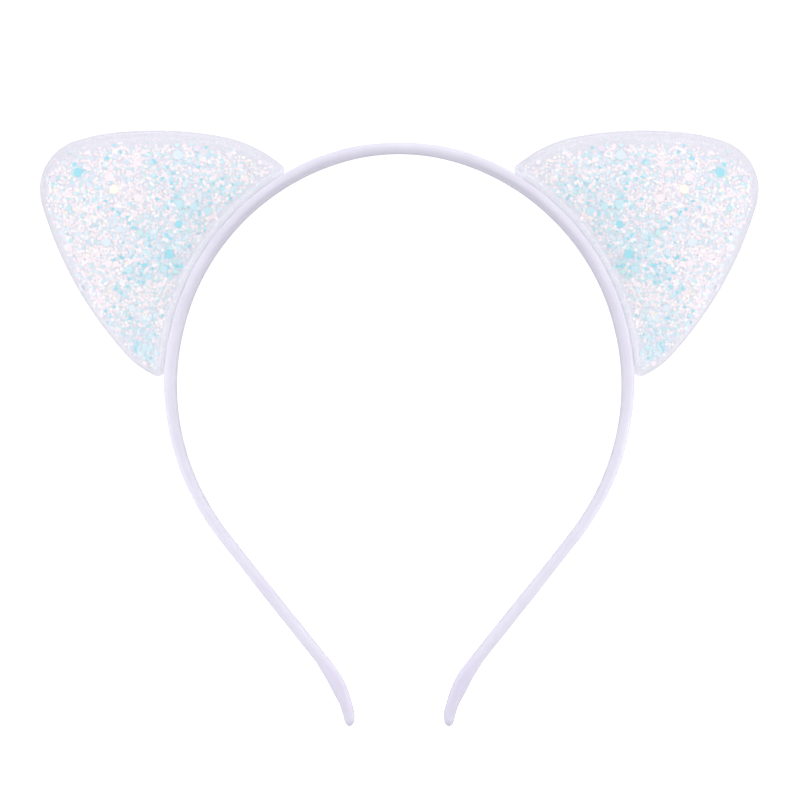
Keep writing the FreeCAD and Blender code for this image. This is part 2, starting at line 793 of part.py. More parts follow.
# ---------------------------------------------------------------- right side
crown_parts = [core_crown, satin_crown, lining_crown]
left_parts = [
    core_arm,
    satin_arm,
    lining_arm,
    end_fold,
    ear_front,
    ear_back,
    ear_foam,
    ear_glue,
]
right_parts = []
for source in left_parts:
    label = source.Label.replace("left", "right")
    mirror = doc.addObject("Part::Mirroring", label)
    mirror.Label = label
    mirror.Source = source
    mirror.Base = Vector(0, 0, 0)
    mirror.Normal = Vector(1, 0, 0)
    right_parts.append(mirror)
doc.recompute()

# ---------------------------------------------------------------- checks and files
faults = []
for item in doc.Objects:
    if "Invalid" in item.State or "Error" in item.State:
        faults.append(item.Name + " " + " ".join(item.State))
parts = crown_parts + left_parts + right_parts
for item in parts:
    shape = item.Shape
    if shape.isNull() or not shape.isValid() or len(shape.Solids) != 1:
        faults.append(item.Label + " has no single valid solid")
    else:
        box = shape.BoundBox
        print(
            "%-16s %9.2f mm3  x %.2f..%.2f  y %.2f..%.2f  z %.2f..%.2f"
            % (
                item.Label,
                shape.Volume,
                box.XMin,
                box.XMax,
                box.YMin,
                box.YMax,
                box.ZMin,
                box.ZMax,
            )
        )
if faults:
    raise RuntimeError("; ".join(faults))

os.makedirs("parts", exist_ok=True)
for item in parts:
    item.Shape.exportStep("parts/" + item.Label + ".step")
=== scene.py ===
import math

import bmesh
import bpy
import numpy as np
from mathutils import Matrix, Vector, geometry
from mathutils.bvhtree import BVHTree


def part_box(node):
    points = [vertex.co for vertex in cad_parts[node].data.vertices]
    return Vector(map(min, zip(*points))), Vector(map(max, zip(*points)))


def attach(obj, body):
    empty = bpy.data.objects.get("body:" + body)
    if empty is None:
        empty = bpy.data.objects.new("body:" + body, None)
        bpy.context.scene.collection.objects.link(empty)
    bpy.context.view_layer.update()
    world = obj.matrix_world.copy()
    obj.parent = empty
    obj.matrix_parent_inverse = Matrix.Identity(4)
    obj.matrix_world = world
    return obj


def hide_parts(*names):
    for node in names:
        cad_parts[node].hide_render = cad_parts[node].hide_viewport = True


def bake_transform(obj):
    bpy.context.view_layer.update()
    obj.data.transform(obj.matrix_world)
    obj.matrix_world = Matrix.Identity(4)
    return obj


# Animal ears headband: satin cover, lining and folded ends on a springy core,
# and two padded glitter ears with cloth backs, glued to the band's outer edge.
# Lengths below are in millimetres and become metres when a mesh is made.

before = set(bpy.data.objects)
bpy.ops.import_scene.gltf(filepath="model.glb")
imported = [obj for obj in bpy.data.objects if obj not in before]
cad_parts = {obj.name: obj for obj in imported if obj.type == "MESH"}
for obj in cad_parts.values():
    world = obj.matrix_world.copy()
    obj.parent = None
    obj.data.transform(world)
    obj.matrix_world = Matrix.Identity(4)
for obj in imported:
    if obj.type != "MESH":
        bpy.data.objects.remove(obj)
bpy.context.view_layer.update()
MM = 0.001

# ------------------------------------------------------------------ centreline
# One half of the band as tangent arcs, the same numbers as in the CAD model.
SEAT = 1.60
BAND = [(56.8, 17.45), (65.6, 79.0), (69.2, 32.15), (0.0, 44.9), (-25.2, 34.6)]
RUNS = []
_turn, _s = 0.0, 0.0
_p = np.array([0.0, SEAT])
for _r, _a in BAND:
    _length = _a if _r == 0 else abs(_r) * math.radians(_a)
    RUNS.append((_s, _length, _r, _turn, _p.copy()))
    _steps = 400
    _k = 0 if _r == 0 else 1.0 / _r
    _mid = math.radians(_turn) + _k * _length * (np.arange(_steps) + 0.5) / _steps
    _p = _p + np.array([-np.cos(_mid).sum(), -np.sin(_mid).sum()]) * _length / _steps
    _turn += math.degrees(_k * _length)
    _s += _length
S_END = _s
S_FOLD = RUNS[4][0]


def band(s, n=0.0):
    """Points (x, z) of the left half at distance s along the centreline and n
    outward from it, with the outward normals."""
    s = np.atleast_1d(np.asarray(s, float))
    n = np.broadcast_to(np.asarray(n, float), s.shape)
    out = np.zeros((len(s), 2))
    normal = np.zeros((len(s), 2))
    for i, (s0, length, r, turn, p0) in enumerate(RUNS):
        last = i == len(RUNS) - 1
        m = (s >= s0) & ((s < s0 + length) | last)
        if i == 0:
            m = s < s0 + length
        if not m.any():
            continue
        t0 = math.radians(turn)
        d = s[m] - s0
        if r == 0:
            x = p0[0] - math.cos(t0) * d
            z = p0[1] - math.sin(t0) * d
            t = np.full(d.shape, t0)
        else:
            t = t0 + d / r
            cx, cz = p0[0] + r * math.sin(t0), p0[1] - r * math.cos(t0)
            x, z = cx - r * np.sin(t), cz + r * np.cos(t)
        normal[m] = np.stack([-np.sin(t), np.cos(t)], 1)
        out[m] = np.stack([x, z], 1)
    return out + normal * n[:, None], normal


# ------------------------------------------------------------------ mesh help
def smoothstep(a, b, x):
    t = np.clip((np.asarray(x, float) - a) / (b - a), 0, 1)
    return t * t * (3 - 2 * t)


def hash01(*keys):
    """A repeatable number in 0..1 for each entry of the arrays in keys."""
    v = np.zeros(np.broadcast(*[np.asarray(k, float) for k in keys]).shape)
    for i, k in enumerate(keys):
        v = v + np.asarray(k, float) * (12.9898 + 65.233 * i)
    return np.modf(np.abs(np.sin(v) * 43758.5453))[0]


def new_piece(name, verts, faces, mirror=False, smooth=True, uv=None, material=None):
    """A mesh object from millimetres. mirror turns the left piece into the right."""
    v = np.array(verts, float) * MM
    faces = [list(f) for f in faces]
    if mirror:
        v = v * np.array([-1.0, 1.0, 1.0])
        faces = [f[::-1] for f in faces]
        if uv is not None:
            uv = [u[::-1] for u in uv]
    mesh = bpy.data.meshes.new(name)
    mesh.from_pydata(v.tolist(), [], faces)
    if uv is not None:
        layer = mesh.uv_layers.new(name="lay")
        flat = np.array([c for u in uv for c in u], float)
        layer.data.foreach_set("uv", flat.astype(np.float32).ravel())
    mesh.polygons.foreach_set("use_smooth", [smooth] * len(mesh.polygons))
    mesh.update()
    ob = bpy.data.objects.new(name, mesh)
    bpy.context.scene.collection.objects.link(ob)
    for m in material if isinstance(material, (list, tuple)) else [material]:
        if m is not None:
            mesh.materials.append(m)
    return ob


def shade_by_angle(ob, degrees=40):
    """Smooth shading that keeps real edges sharp."""
    limit = math.radians(degrees)
    bm = bmesh.new()
    bm.from_mesh(ob.data)
    for e in bm.edges:
        if len(e.link_faces) == 2:
            e.smooth = e.calc_face_angle(0.0) < limit
    bm.to_mesh(ob.data)
    bm.free()


def grid_faces(rows, cols, closed, flip=False, base=0):
    faces = []
    span = cols if closed else cols - 1
    for i in range(rows - 1):
        for j in range(span):
            a = base + i * cols + j
            b = base + i * cols + (j + 1) % cols
            c = base + (i + 1) * cols + (j + 1) % cols
            d = base + (i + 1) * cols + j
            faces.append([a, d, c, b] if flip else [a, b, c, d])
    return faces


def rounded_loop(n_in, n_out, half, radius, per_corner=8, across=4, along=10):
    """A rounded rectangle in (n, y), counter-clockwise seen along the band."""
    r = min(radius, (n_out - n_in) / 2 - 1e-3, half - 1e-3)
    pts = []
    corners = [
        (n_out - r, half - r, 0),
        (n_in + r, half - r, 90),
        (n_in + r, -half + r, 180),
        (n_out - r, -half + r, 270),
    ]
    for i, (cn, cy, a0) in enumerate(corners):
        for k in range(per_corner + 1):
            a = math.radians(a0 + 90 * k / per_corner)
            pts.append((cn + r * math.cos(a), cy + r * math.sin(a)))
        nn, ny, _ = corners[(i + 1) % 4]
        a1 = math.radians(a0 + 90)
        start = (cn + r * math.cos(a1), cy + r * math.sin(a1))
        stop = (nn + r * math.cos(a1), ny + r * math.sin(a1))
        count = along if i % 2 else across
        for k in range(1, count):
            f = k / count
            pts.append(
                (start[0] + (stop[0] - start[0]) * f, start[1] + (stop[1] - start[1]) * f)
            )
    return np.array(pts)


def loop_lengths(loop):
    d = np.linalg.norm(np.roll(loop, -1, axis=0) - loop, axis=1)
    return np.concatenate([[0], np.cumsum(d)])


# ------------------------------------------------------------------ materials
def principled(name, color, rough=0.5, **sockets):
    mat = bpy.data.materials.new(name)
    mat.use_nodes = True
    nt = mat.node_tree
    p = nt.nodes["Principled BSDF"]
    p.inputs["Base Color"].default_value = (*color, 1)
    p.inputs["Roughness"].default_value = rough
    for key, value in sockets.items():
        socket = p.inputs[key.replace("_", " ")]
        socket.default_value = value
    return mat, nt, p


def add(nt, kind, **props):
    node = nt.nodes.new(kind)
    for k, v in props.items():
        if k in node.inputs:
            node.inputs[k].default_value = v
        else:
            setattr(node, k, v)
    return node


def srgb(r, g, b):
    def one(c):
        c = c / 255.0
        return c / 12.92 if c <= 0.04045 else ((c + 0.055) / 1.055) ** 2.4

    return (one(r), one(g), one(b))


def math_node(nt, operation, a, b=None, clamp=False):
    node = nt.nodes.new("ShaderNodeMath")
    node.operation = operation
    node.use_clamp = clamp
    for i, v in enumerate((a, b)):
        if v is None:
            continue
        if isinstance(v, (int, float)):
            node.inputs[i].default_value = v
        else:
            nt.links.new(v, node.inputs[i])
    return node.outputs[0]


def satin_material(name, color, shadow, rough, uv_weave=True, seam=False):
    """Fine satin: a smooth warp-faced weave with a soft sheen. The weave follows
    the strip's own lay: u runs along it and v round it, both in millimetres."""
    mat, nt, p = principled(
        name,
        color,
        rough,
        Sheen_Weight=0.25,
        Sheen_Roughness=0.45,
        Sheen_Tint=(0.93, 0.92, 1.0, 1),
        Anisotropic=0.35,
        Specular_IOR_Level=0.45,
    )
    lay = add(nt, "ShaderNodeUVMap", uv_map="lay")
    geo = add(nt, "ShaderNodeTexCoord")
    # cloudy change of tone along the ribbon
    cloud = add(nt, "ShaderNodeTexNoise", Scale=95.0, Detail=3.0, Roughness=0.55)
    nt.links.new(geo.outputs["Object"], cloud.inputs["Vector"])
    # slubs: thin streaks that run with the warp
    stretch = add(nt, "ShaderNodeMapping")
    stretch.inputs["Scale"].default_value = (0.12, 5.5, 1)
    nt.links.new(lay.outputs["UV"], stretch.inputs["Vector"])
    slub = add(nt, "ShaderNodeTexNoise", Scale=1.0, Detail=4.0, Roughness=0.6)
    nt.links.new(stretch.outputs[0], slub.inputs["Vector"])
    tone = math_node(nt, "MULTIPLY", cloud.outputs[0], 0.55)
    tone = math_node(nt, "ADD", tone, math_node(nt, "MULTIPLY", slub.outputs[0], 0.45))
    ramp = add(nt, "ShaderNodeValToRGB")
    ramp.color_ramp.elements[0].position = 0.30
    ramp.color_ramp.elements[0].color = (*shadow, 1)
    ramp.color_ramp.elements[1].position = 0.62
    ramp.color_ramp.elements[1].color = (*color, 1)
    nt.links.new(tone, ramp.inputs[0])
    # painted shade: the base colour is multiplied darker along the cover's inner side on the shoulder, where that side
    # turns away from the lights
    painted_shade = add(nt, "ShaderNodeAttribute", attribute_name="painted_shade")
    deep = add(nt, "ShaderNodeMix", data_type="RGBA", blend_type="MULTIPLY")
    nt.links.new(painted_shade.outputs["Fac"], deep.inputs["Factor"])
    nt.links.new(ramp.outputs[0], deep.inputs[6])
    deep.inputs[7].default_value = (0.86, 0.86, 0.875, 1)
    nt.links.new(deep.outputs[2], p.inputs["Base Color"])
    # weave: warp threads 0.16 mm apart, a binding point every fifth pick
    sep = add(nt, "ShaderNodeSeparateXYZ")
    nt.links.new(lay.outputs["UV"], sep.inputs[0])
    warp = math_node(
        nt,
        "ABSOLUTE",
        math_node(nt, "SINE", math_node(nt, "MULTIPLY", sep.outputs[1], math.pi / 0.16)),
    )
    pick = math_node(
        nt,
        "SINE",
        math_node(
            nt,
            "ADD",
            math_node(nt, "MULTIPLY", sep.outputs[0], 2 * math.pi / 0.55),
            math_node(nt, "MULTIPLY", sep.outputs[1], 2 * math.pi / 0.4),
        ),
    )
    weave = math_node(nt, "ADD", warp, math_node(nt, "MULTIPLY", pick, 0.35))
    height = math_node(
        nt, "ADD", math_node(nt, "MULTIPLY", weave, 0.5), math_node(nt, "MULTIPLY", slub.outputs[0], 1.2)
    )
    bump = add(nt, "ShaderNodeBump", Strength=0.18, Distance=0.00006)
    nt.links.new(height, bump.inputs["Height"])
    nt.links.new(bump.outputs[0], p.inputs["Normal"])
    rough_range = add(nt, "ShaderNodeMapRange")
    rough_range.inputs["To Min"].default_value = rough - 0.07
    rough_range.inputs["To Max"].default_value = rough + 0.10
    nt.links.new(slub.outputs[0], rough_range.inputs["Value"])
    nt.links.new(rough_range.outputs[0], p.inputs["Roughness"])
    return mat


SATIN = satin_material("satin_lavender", srgb(228, 225, 239), srgb(220, 216, 234), 0.42)
SATIN_FOLD = satin_material(
    "satin_folded", srgb(226, 222, 239), srgb(217, 212, 232), 0.45
)


def lining_material():
    """Grosgrain ribbon: fine ribs straight across it and firmer woven edges."""
    mat, nt, p = principled(
        "lining_grosgrain",
        srgb(226, 223, 238),
        0.6,
        Sheen_Weight=0.2,
        Sheen_Roughness=0.5,
    )
    lay = add(nt, "ShaderNodeUVMap", uv_map="lay")
    sep = add(nt, "ShaderNodeSeparateXYZ")
    nt.links.new(lay.outputs["UV"], sep.inputs[0])
    rib = math_node(nt, "SINE", math_node(nt, "MULTIPLY", sep.outputs[0], 2 * math.pi / 0.6))
    thread = math_node(nt, "SINE", math_node(nt, "MULTIPLY", sep.outputs[1], 2 * math.pi / 0.22))
    both = math_node(nt, "ADD", rib, math_node(nt, "MULTIPLY", thread, 0.3))
    noise = add(nt, "ShaderNodeTexNoise", Scale=700.0, Detail=3.0)
    coord = add(nt, "ShaderNodeTexCoord")
    nt.links.new(coord.outputs["Object"], noise.inputs["Vector"])
    tone = math_node(nt, "ADD", math_node(nt, "MULTIPLY", both, 0.16), noise.outputs[0])
    ramp = add(nt, "ShaderNodeValToRGB")
    ramp.color_ramp.elements[0].position = 0.25
    ramp.color_ramp.elements[0].color = (*srgb(214, 210, 228), 1)
    ramp.color_ramp.elements[1].position = 0.75
    ramp.color_ramp.elements[1].color = (*srgb(233, 230, 243), 1)
    nt.links.new(tone, ramp.inputs[0])
    nt.links.new(ramp.outputs[0], p.inputs["Base Color"])
    bump = add(nt, "ShaderNodeBump", Strength=0.5, Distance=0.00008)
    nt.links.new(both, bump.inputs["Height"])
    nt.links.new(bump.outputs[0], p.inputs["Normal"])
    return mat


def plastic_material():
    """Moulded core strip: slightly translucent white with flow marks."""
    mat, nt, p = principled(
        "core_plastic",
        srgb(238, 237, 240),
        0.48,
        Subsurface_Weight=0.1,
        Subsurface_Scale=0.0015,
    )
    coord = add(nt, "ShaderNodeTexCoord")
    noise = add(nt, "ShaderNodeTexNoise", Scale=180.0, Detail=4.0, Distortion=0.6)
    nt.links.new(coord.outputs["Object"], noise.inputs["Vector"])
    ramp = add(nt, "ShaderNodeValToRGB")
    ramp.color_ramp.elements[0].color = (*srgb(228, 227, 232), 1)
    ramp.color_ramp.elements[1].color = (*srgb(243, 242, 244), 1)
    nt.links.new(noise.outputs[0], ramp.inputs[0])
    nt.links.new(ramp.outputs[0], p.inputs["Base Color"])
    bump = add(nt, "ShaderNodeBump", Strength=0.15, Distance=0.0001)
    nt.links.new(noise.outputs[0], bump.inputs["Height"])
    nt.links.new(bump.outputs[0], p.inputs["Normal"])
    return mat


def glitter_base_material():
    """The sheet under the loose flakes: pearl lavender cloth dusted with very fine
    glitter, each speck its own tint and tilt."""
    mat, nt, p = principled(
        "glitter_sheet",
        srgb(232, 230, 241),
        0.45,
        Sheen_Weight=0.15,
        Coat_Weight=0.15,
        Coat_Roughness=0.35,
    )
    coord = add(nt, "ShaderNodeTexCoord")
    speck = add(nt, "ShaderNodeTexVoronoi", Scale=3200.0)
    nt.links.new(coord.outputs["Object"], speck.inputs["Vector"])
    sep = add(nt, "ShaderNodeSeparateColor")
    nt.links.new(speck.outputs["Color"], sep.inputs[0])
    ramp = add(nt, "ShaderNodeValToRGB")
    ramp.color_ramp.interpolation = "CONSTANT"
    stops = [
        (0.0, srgb(227, 228, 240)),
        (0.30, srgb(235, 233, 243)),
        (0.52, srgb(221, 227, 240)),
        (0.66, srgb(243, 235, 242)),
        (0.78, srgb(213, 232, 242)),
        (0.88, srgb(229, 227, 240)),
        (0.95, srgb(245, 245, 249)),
    ]
    ramp.color_ramp.elements[0].color = (*stops[0][1], 1)
    ramp.color_ramp.elements[1].position = stops[1][0]
    ramp.color_ramp.elements[1].color = (*stops[1][1], 1)
    for pos, col in stops[2:]:
        e = ramp.color_ramp.elements.new(pos)
        e.color = (*col, 1)
    nt.links.new(sep.outputs[0], ramp.inputs[0])
    cloud = add(nt, "ShaderNodeTexNoise", Scale=260.0, Detail=3.0)
    nt.links.new(coord.outputs["Object"], cloud.inputs["Vector"])
    mix = add(nt, "ShaderNodeMix", data_type="RGBA")
    nt.links.new(
        math_node(nt, "MULTIPLY", cloud.outputs[0], 0.5), mix.inputs["Factor"]
    )
    nt.links.new(ramp.outputs[0], mix.inputs[6])
    mix.inputs[7].default_value = (*srgb(232, 232, 242), 1)
    pad = add(nt, "ShaderNodeAttribute", attribute_name="pad")
    rim = add(nt, "ShaderNodeMix", data_type="RGBA")
    nt.links.new(pad.outputs["Fac"], rim.inputs["Factor"])
    pale = add(nt, "ShaderNodeMix", data_type="RGBA")
    pale.inputs["Factor"].default_value = 0.3
    pale.inputs[6].default_value = (*srgb(222, 220, 230), 1)
    nt.links.new(mix.outputs[2], pale.inputs[7])
    nt.links.new(pale.outputs[2], rim.inputs[6])
    nt.links.new(mix.outputs[2], rim.inputs[7])
    nt.links.new(rim.outputs[2], p.inputs["Base Color"])
    rough = add(nt, "ShaderNodeMapRange")
    rough.inputs["To Min"].default_value = 0.25
    rough.inputs["To Max"].default_value = 0.6
    nt.links.new(sep.outputs[1], rough.inputs["Value"])
    nt.links.new(rough.outputs[0], p.inputs["Roughness"])
    bump = add(nt, "ShaderNodeBump", Strength=0.35, Distance=0.00008)
    nt.links.new(sep.outputs[2], bump.inputs["Height"])
    nt.links.new(bump.outputs[0], p.inputs["Normal"])
    return mat


def felt_material():
    """Back of the ear: short matted fibres in pale lavender white."""
    mat, nt, p = principled(
        "backing_felt",
        srgb(232, 230, 240),
        0.85,
        Sheen_Weight=0.5,
        Sheen_Roughness=0.6,
        Specular_IOR_Level=0.25,
    )
    coord = add(nt, "ShaderNodeTexCoord")
    mat_a = add(nt, "ShaderNodeTexNoise", Scale=520.0, Detail=6.0, Roughness=0.75, Distortion=0.25)
    mat_b = add(nt, "ShaderNodeTexNoise", Scale=2400.0, Detail=5.0, Roughness=0.75, Distortion=1.6)
    for n in (mat_a, mat_b):
        nt.links.new(coord.outputs["Object"], n.inputs["Vector"])
    fibre = math_node(
        nt,
        "ADD",
        math_node(nt, "MULTIPLY", mat_a.outputs[0], 0.45),
        math_node(nt, "MULTIPLY", mat_b.outputs[0], 0.55),
    )
    ramp = add(nt, "ShaderNodeValToRGB")
    ramp.color_ramp.elements[0].position = 0.36
    ramp.color_ramp.elements[0].color = (*srgb(217, 214, 229), 1)
    ramp.color_ramp.elements[1].position = 0.62
    ramp.color_ramp.elements[1].color = (*srgb(238, 236, 245), 1)
    nt.links.new(fibre, ramp.inputs[0])
    nt.links.new(ramp.outputs[0], p.inputs["Base Color"])
    bump = add(nt, "ShaderNodeBump", Strength=0.6, Distance=0.00025)
    nt.links.new(fibre, bump.inputs["Height"])
    nt.links.new(bump.outputs[0], p.inputs["Normal"])
    return mat


def foam_material():
    mat, nt, p = principled("pad_foam", srgb(244, 243, 246), 0.9)
    coord = add(nt, "ShaderNodeTexCoord")
    cells = add(nt, "ShaderNodeTexVoronoi", Scale=2200.0)
    nt.links.new(coord.outputs["Object"], cells.inputs["Vector"])
    ramp = add(nt, "ShaderNodeValToRGB")
    ramp.color_ramp.elements[0].color = (*srgb(228, 227, 232), 1)
    ramp.color_ramp.elements[1].color = (*srgb(248, 247, 250), 1)
    ramp.color_ramp.elements[1].position = 0.4
    nt.links.new(cells.outputs["Distance"], ramp.inputs[0])
    nt.links.new(ramp.outputs[0], p.inputs["Base Color"])
    bump = add(nt, "ShaderNodeBump", Strength=0.5, Distance=0.0002)
    nt.links.new(cells.outputs["Distance"], bump.inputs["Height"])
    nt.links.new(bump.outputs[0], p.inputs["Normal"])
    return mat


def glue_material():
    """Hot glue: cloudy, glossy, with trapped bubbles."""
    mat, nt, p = principled(
        "hot_glue",
        srgb(240, 240, 240),
        0.22,
        Subsurface_Weight=0.35,
        Subsurface_Scale=0.001,
        Coat_Weight=0.3,
        Coat_Roughness=0.15,
    )
    coord = add(nt, "ShaderNodeTexCoord")
    noise = add(nt, "ShaderNodeTexNoise", Scale=900.0, Detail=2.0)
    nt.links.new(coord.outputs["Object"], noise.inputs["Vector"])
    ramp = add(nt, "ShaderNodeValToRGB")
    ramp.color_ramp.elements[0].position = 0.35
    ramp.color_ramp.elements[0].color = (*srgb(228, 228, 232), 1)
    ramp.color_ramp.elements[1].position = 0.6
    ramp.color_ramp.elements[1].color = (*srgb(245, 245, 244), 1)
    nt.links.new(noise.outputs[0], ramp.inputs[0])
    nt.links.new(ramp.outputs[0], p.inputs["Base Color"])
    bump = add(nt, "ShaderNodeBump", Strength=0.2, Distance=0.0001)
    nt.links.new(noise.outputs[0], bump.inputs["Height"])
    nt.links.new(bump.outputs[0], p.inputs["Normal"])
    return mat


LINING = lining_material()
PLASTIC = plastic_material()
SHEET = glitter_base_material()
FELT = felt_material()
FOAM = foam_material()
GLUE = glue_material()


def flake_material(name, color, rough=0.3, metal=0.0, film=380.0):
    """One tint of iridescent film. The film's interference shifts its reflection."""
    mat, nt, p = principled(
        name,
        color,
        rough,
        Metallic=metal,
        Specular_IOR_Level=0.5,
        Thin_Film_Thickness=film,
        Thin_Film_IOR=1.45,
    )
    return mat


FLAKES = [
    flake_material("flake_pearl_pink", srgb(253, 243, 248), 0.30, 0.0, 330.0),
    flake_material("flake_rose", srgb(255, 237, 244), 0.30, 0.0, 340.0),
    flake_material("flake_white", srgb(255, 252, 255), 0.28, 0.0, 260.0),
    flake_material("flake_lilac", srgb(233, 230, 245), 0.30, 0.0, 420.0),
    flake_material("flake_ice", srgb(227, 241, 250), 0.28, 0.0, 460.0),
    flake_material("flake_aqua", srgb(207, 237, 246), 0.26, 0.0, 480.0),
    flake_material("flake_deep_aqua", srgb(166, 228, 243), 0.24, 0.0, 500.0),
    flake_material("flake_cream", srgb(255, 251, 238), 0.30, 0.0, 300.0),
    flake_material("flake_mint", srgb(208, 240, 242), 0.26, 0.0, 520.0),
    flake_material("flake_speck", srgb(150, 154, 172), 0.30, 0.0, 200.0),
]
PINK, ROSE, WHITE, LILAC, ICE, AQUA, DEEP, CREAM, MINT, SPECK = range(10)


# ------------------------------------------------------------------ band pieces
def ripple(s, phase, seed):
    """Slight unevenness of cloth pulled round the core, in millimetres."""
    return (
        0.5 * np.sin(s * 2 * math.pi / 11.3 + 1.7 * seed + phase)
        + 0.3 * np.sin(s * 2 * math.pi / 6.1 + 3.1 * seed - 1.3 * phase)
        + 0.2 * np.sin(s * 2 * math.pi / 3.7 + 0.9 * seed + 2.1 * phase)
    )


def strip(loops, s_values, wobble=0.0, seed=1.0):
    """Vertices of a strip: loops is (m, k, 2) of (n, y) for each s."""
    m, k, _ = loops.shape
    verts = np.zeros((m, k, 3))
    for i, s in enumerate(s_values):
        n = loops[i, :, 0]
        y = loops[i, :, 1]
        if wobble:
            mid = (n.min() + n.max()) / 2
            half = (n.max() - n.min()) / 2
            phase = np.arctan2(y / 4.0, (n - mid) / half)
            grow = wobble * ripple(np.full(k, s), phase * 1.0, seed)
            scale = np.hypot(y / 4.0, (n - mid) / half) + 1e-6
            n = n + grow * (n - mid) / half / scale
            y = y + grow * (y / 4.0) / scale
        p, _ = band(np.full(k, s), n)
        verts[i, :, 0] = p[:, 0]
        verts[i, :, 1] = y
        verts[i, :, 2] = p[:, 1]
    return verts


def strip_uv(faces, cols, s_values, girth):
    """Lay coordinates for the quads of a closed strip: u along, v round."""
    uv = []
    for f in faces:
        rows = [i // cols for i in f]
        col = [i % cols for i in f]
        wrap = max(col) - min(col) > 1
        uv.append(
            [
                (
                    float(s_values[r]),
                    float(girth[c if not (wrap and c == 0) else cols]),
                )
                for r, c in zip(rows, col)
            ]
        )
    return uv


def shell(outer, inner, s_values, cols, girth):
    """A closed tube with thickness from two strips of the same layout."""
    rows = len(s_values)
    faces = grid_faces(rows, cols, True)
    uv = strip_uv(faces, cols, s_values, girth)
    base = rows * cols
    inner_faces = grid_faces(rows, cols, True, flip=True)
    uv += strip_uv(inner_faces, cols, s_values, girth)
    faces += [[base + i for i in f] for f in inner_faces]
    for row, flip in ((0, True), (rows - 1, False)):
        for j in range(cols):
            k = (j + 1) % cols
            a, b = row * cols + j, row * cols + k
            f = [a, b, base + b, base + a]
            g = [
                (float(s_values[row]), float(girth[j])),
                (float(s_values[row]), float(girth[j + 1])),
                (float(s_values[row]) + 0.35, float(girth[j + 1])),
                (float(s_values[row]) + 0.35, float(girth[j])),
            ]
            faces.append(f[::-1] if flip else f)
            uv.append(g[::-1] if flip else g)
    verts = np.concatenate([outer.reshape(-1, 3), inner.reshape(-1, 3)])
    return verts, faces, uv


# Small departures of the cover's faces from the even strip, in millimetres: the
# inner face, and the outer face, which is padded where the ears are glued on.
INNER = np.array(
    [[0, 0.08], [70, 0.08], [86, 0.20], [98, 0.15], [110, 0.12], [122, 0.15], [134, 0.25],
     [146, 0.30], [155, 0.22], [165, 0.28], [175, 0.33], [210, 0.33]]
)
OUTER = np.array(
    [[0, 0.0], [5, 0.03], [14, 0.28], [24, 0.45], [96, 0.45], [108, 0.18], [122, 0.08],
     [134, -0.16], [146, -0.26], [155, -0.15], [165, -0.02], [210, 0.0]]
)


def fit_faces(loops, s_values, inner=1.0, outer=1.0):
    """Moves the inner and outer faces of a strip's sections by the tables above."""
    a_ = np.interp(s_values, INNER[:, 0], INNER[:, 1])[:, None] * inner
    b_ = np.interp(s_values, OUTER[:, 0], OUTER[:, 1])[:, None] * outer
    n = loops[:, :, 0]
    w = smoothstep(-1.3, 1.1, n)
    loops[:, :, 0] = n - a_ * (1 - w) + b_ * w
    return loops


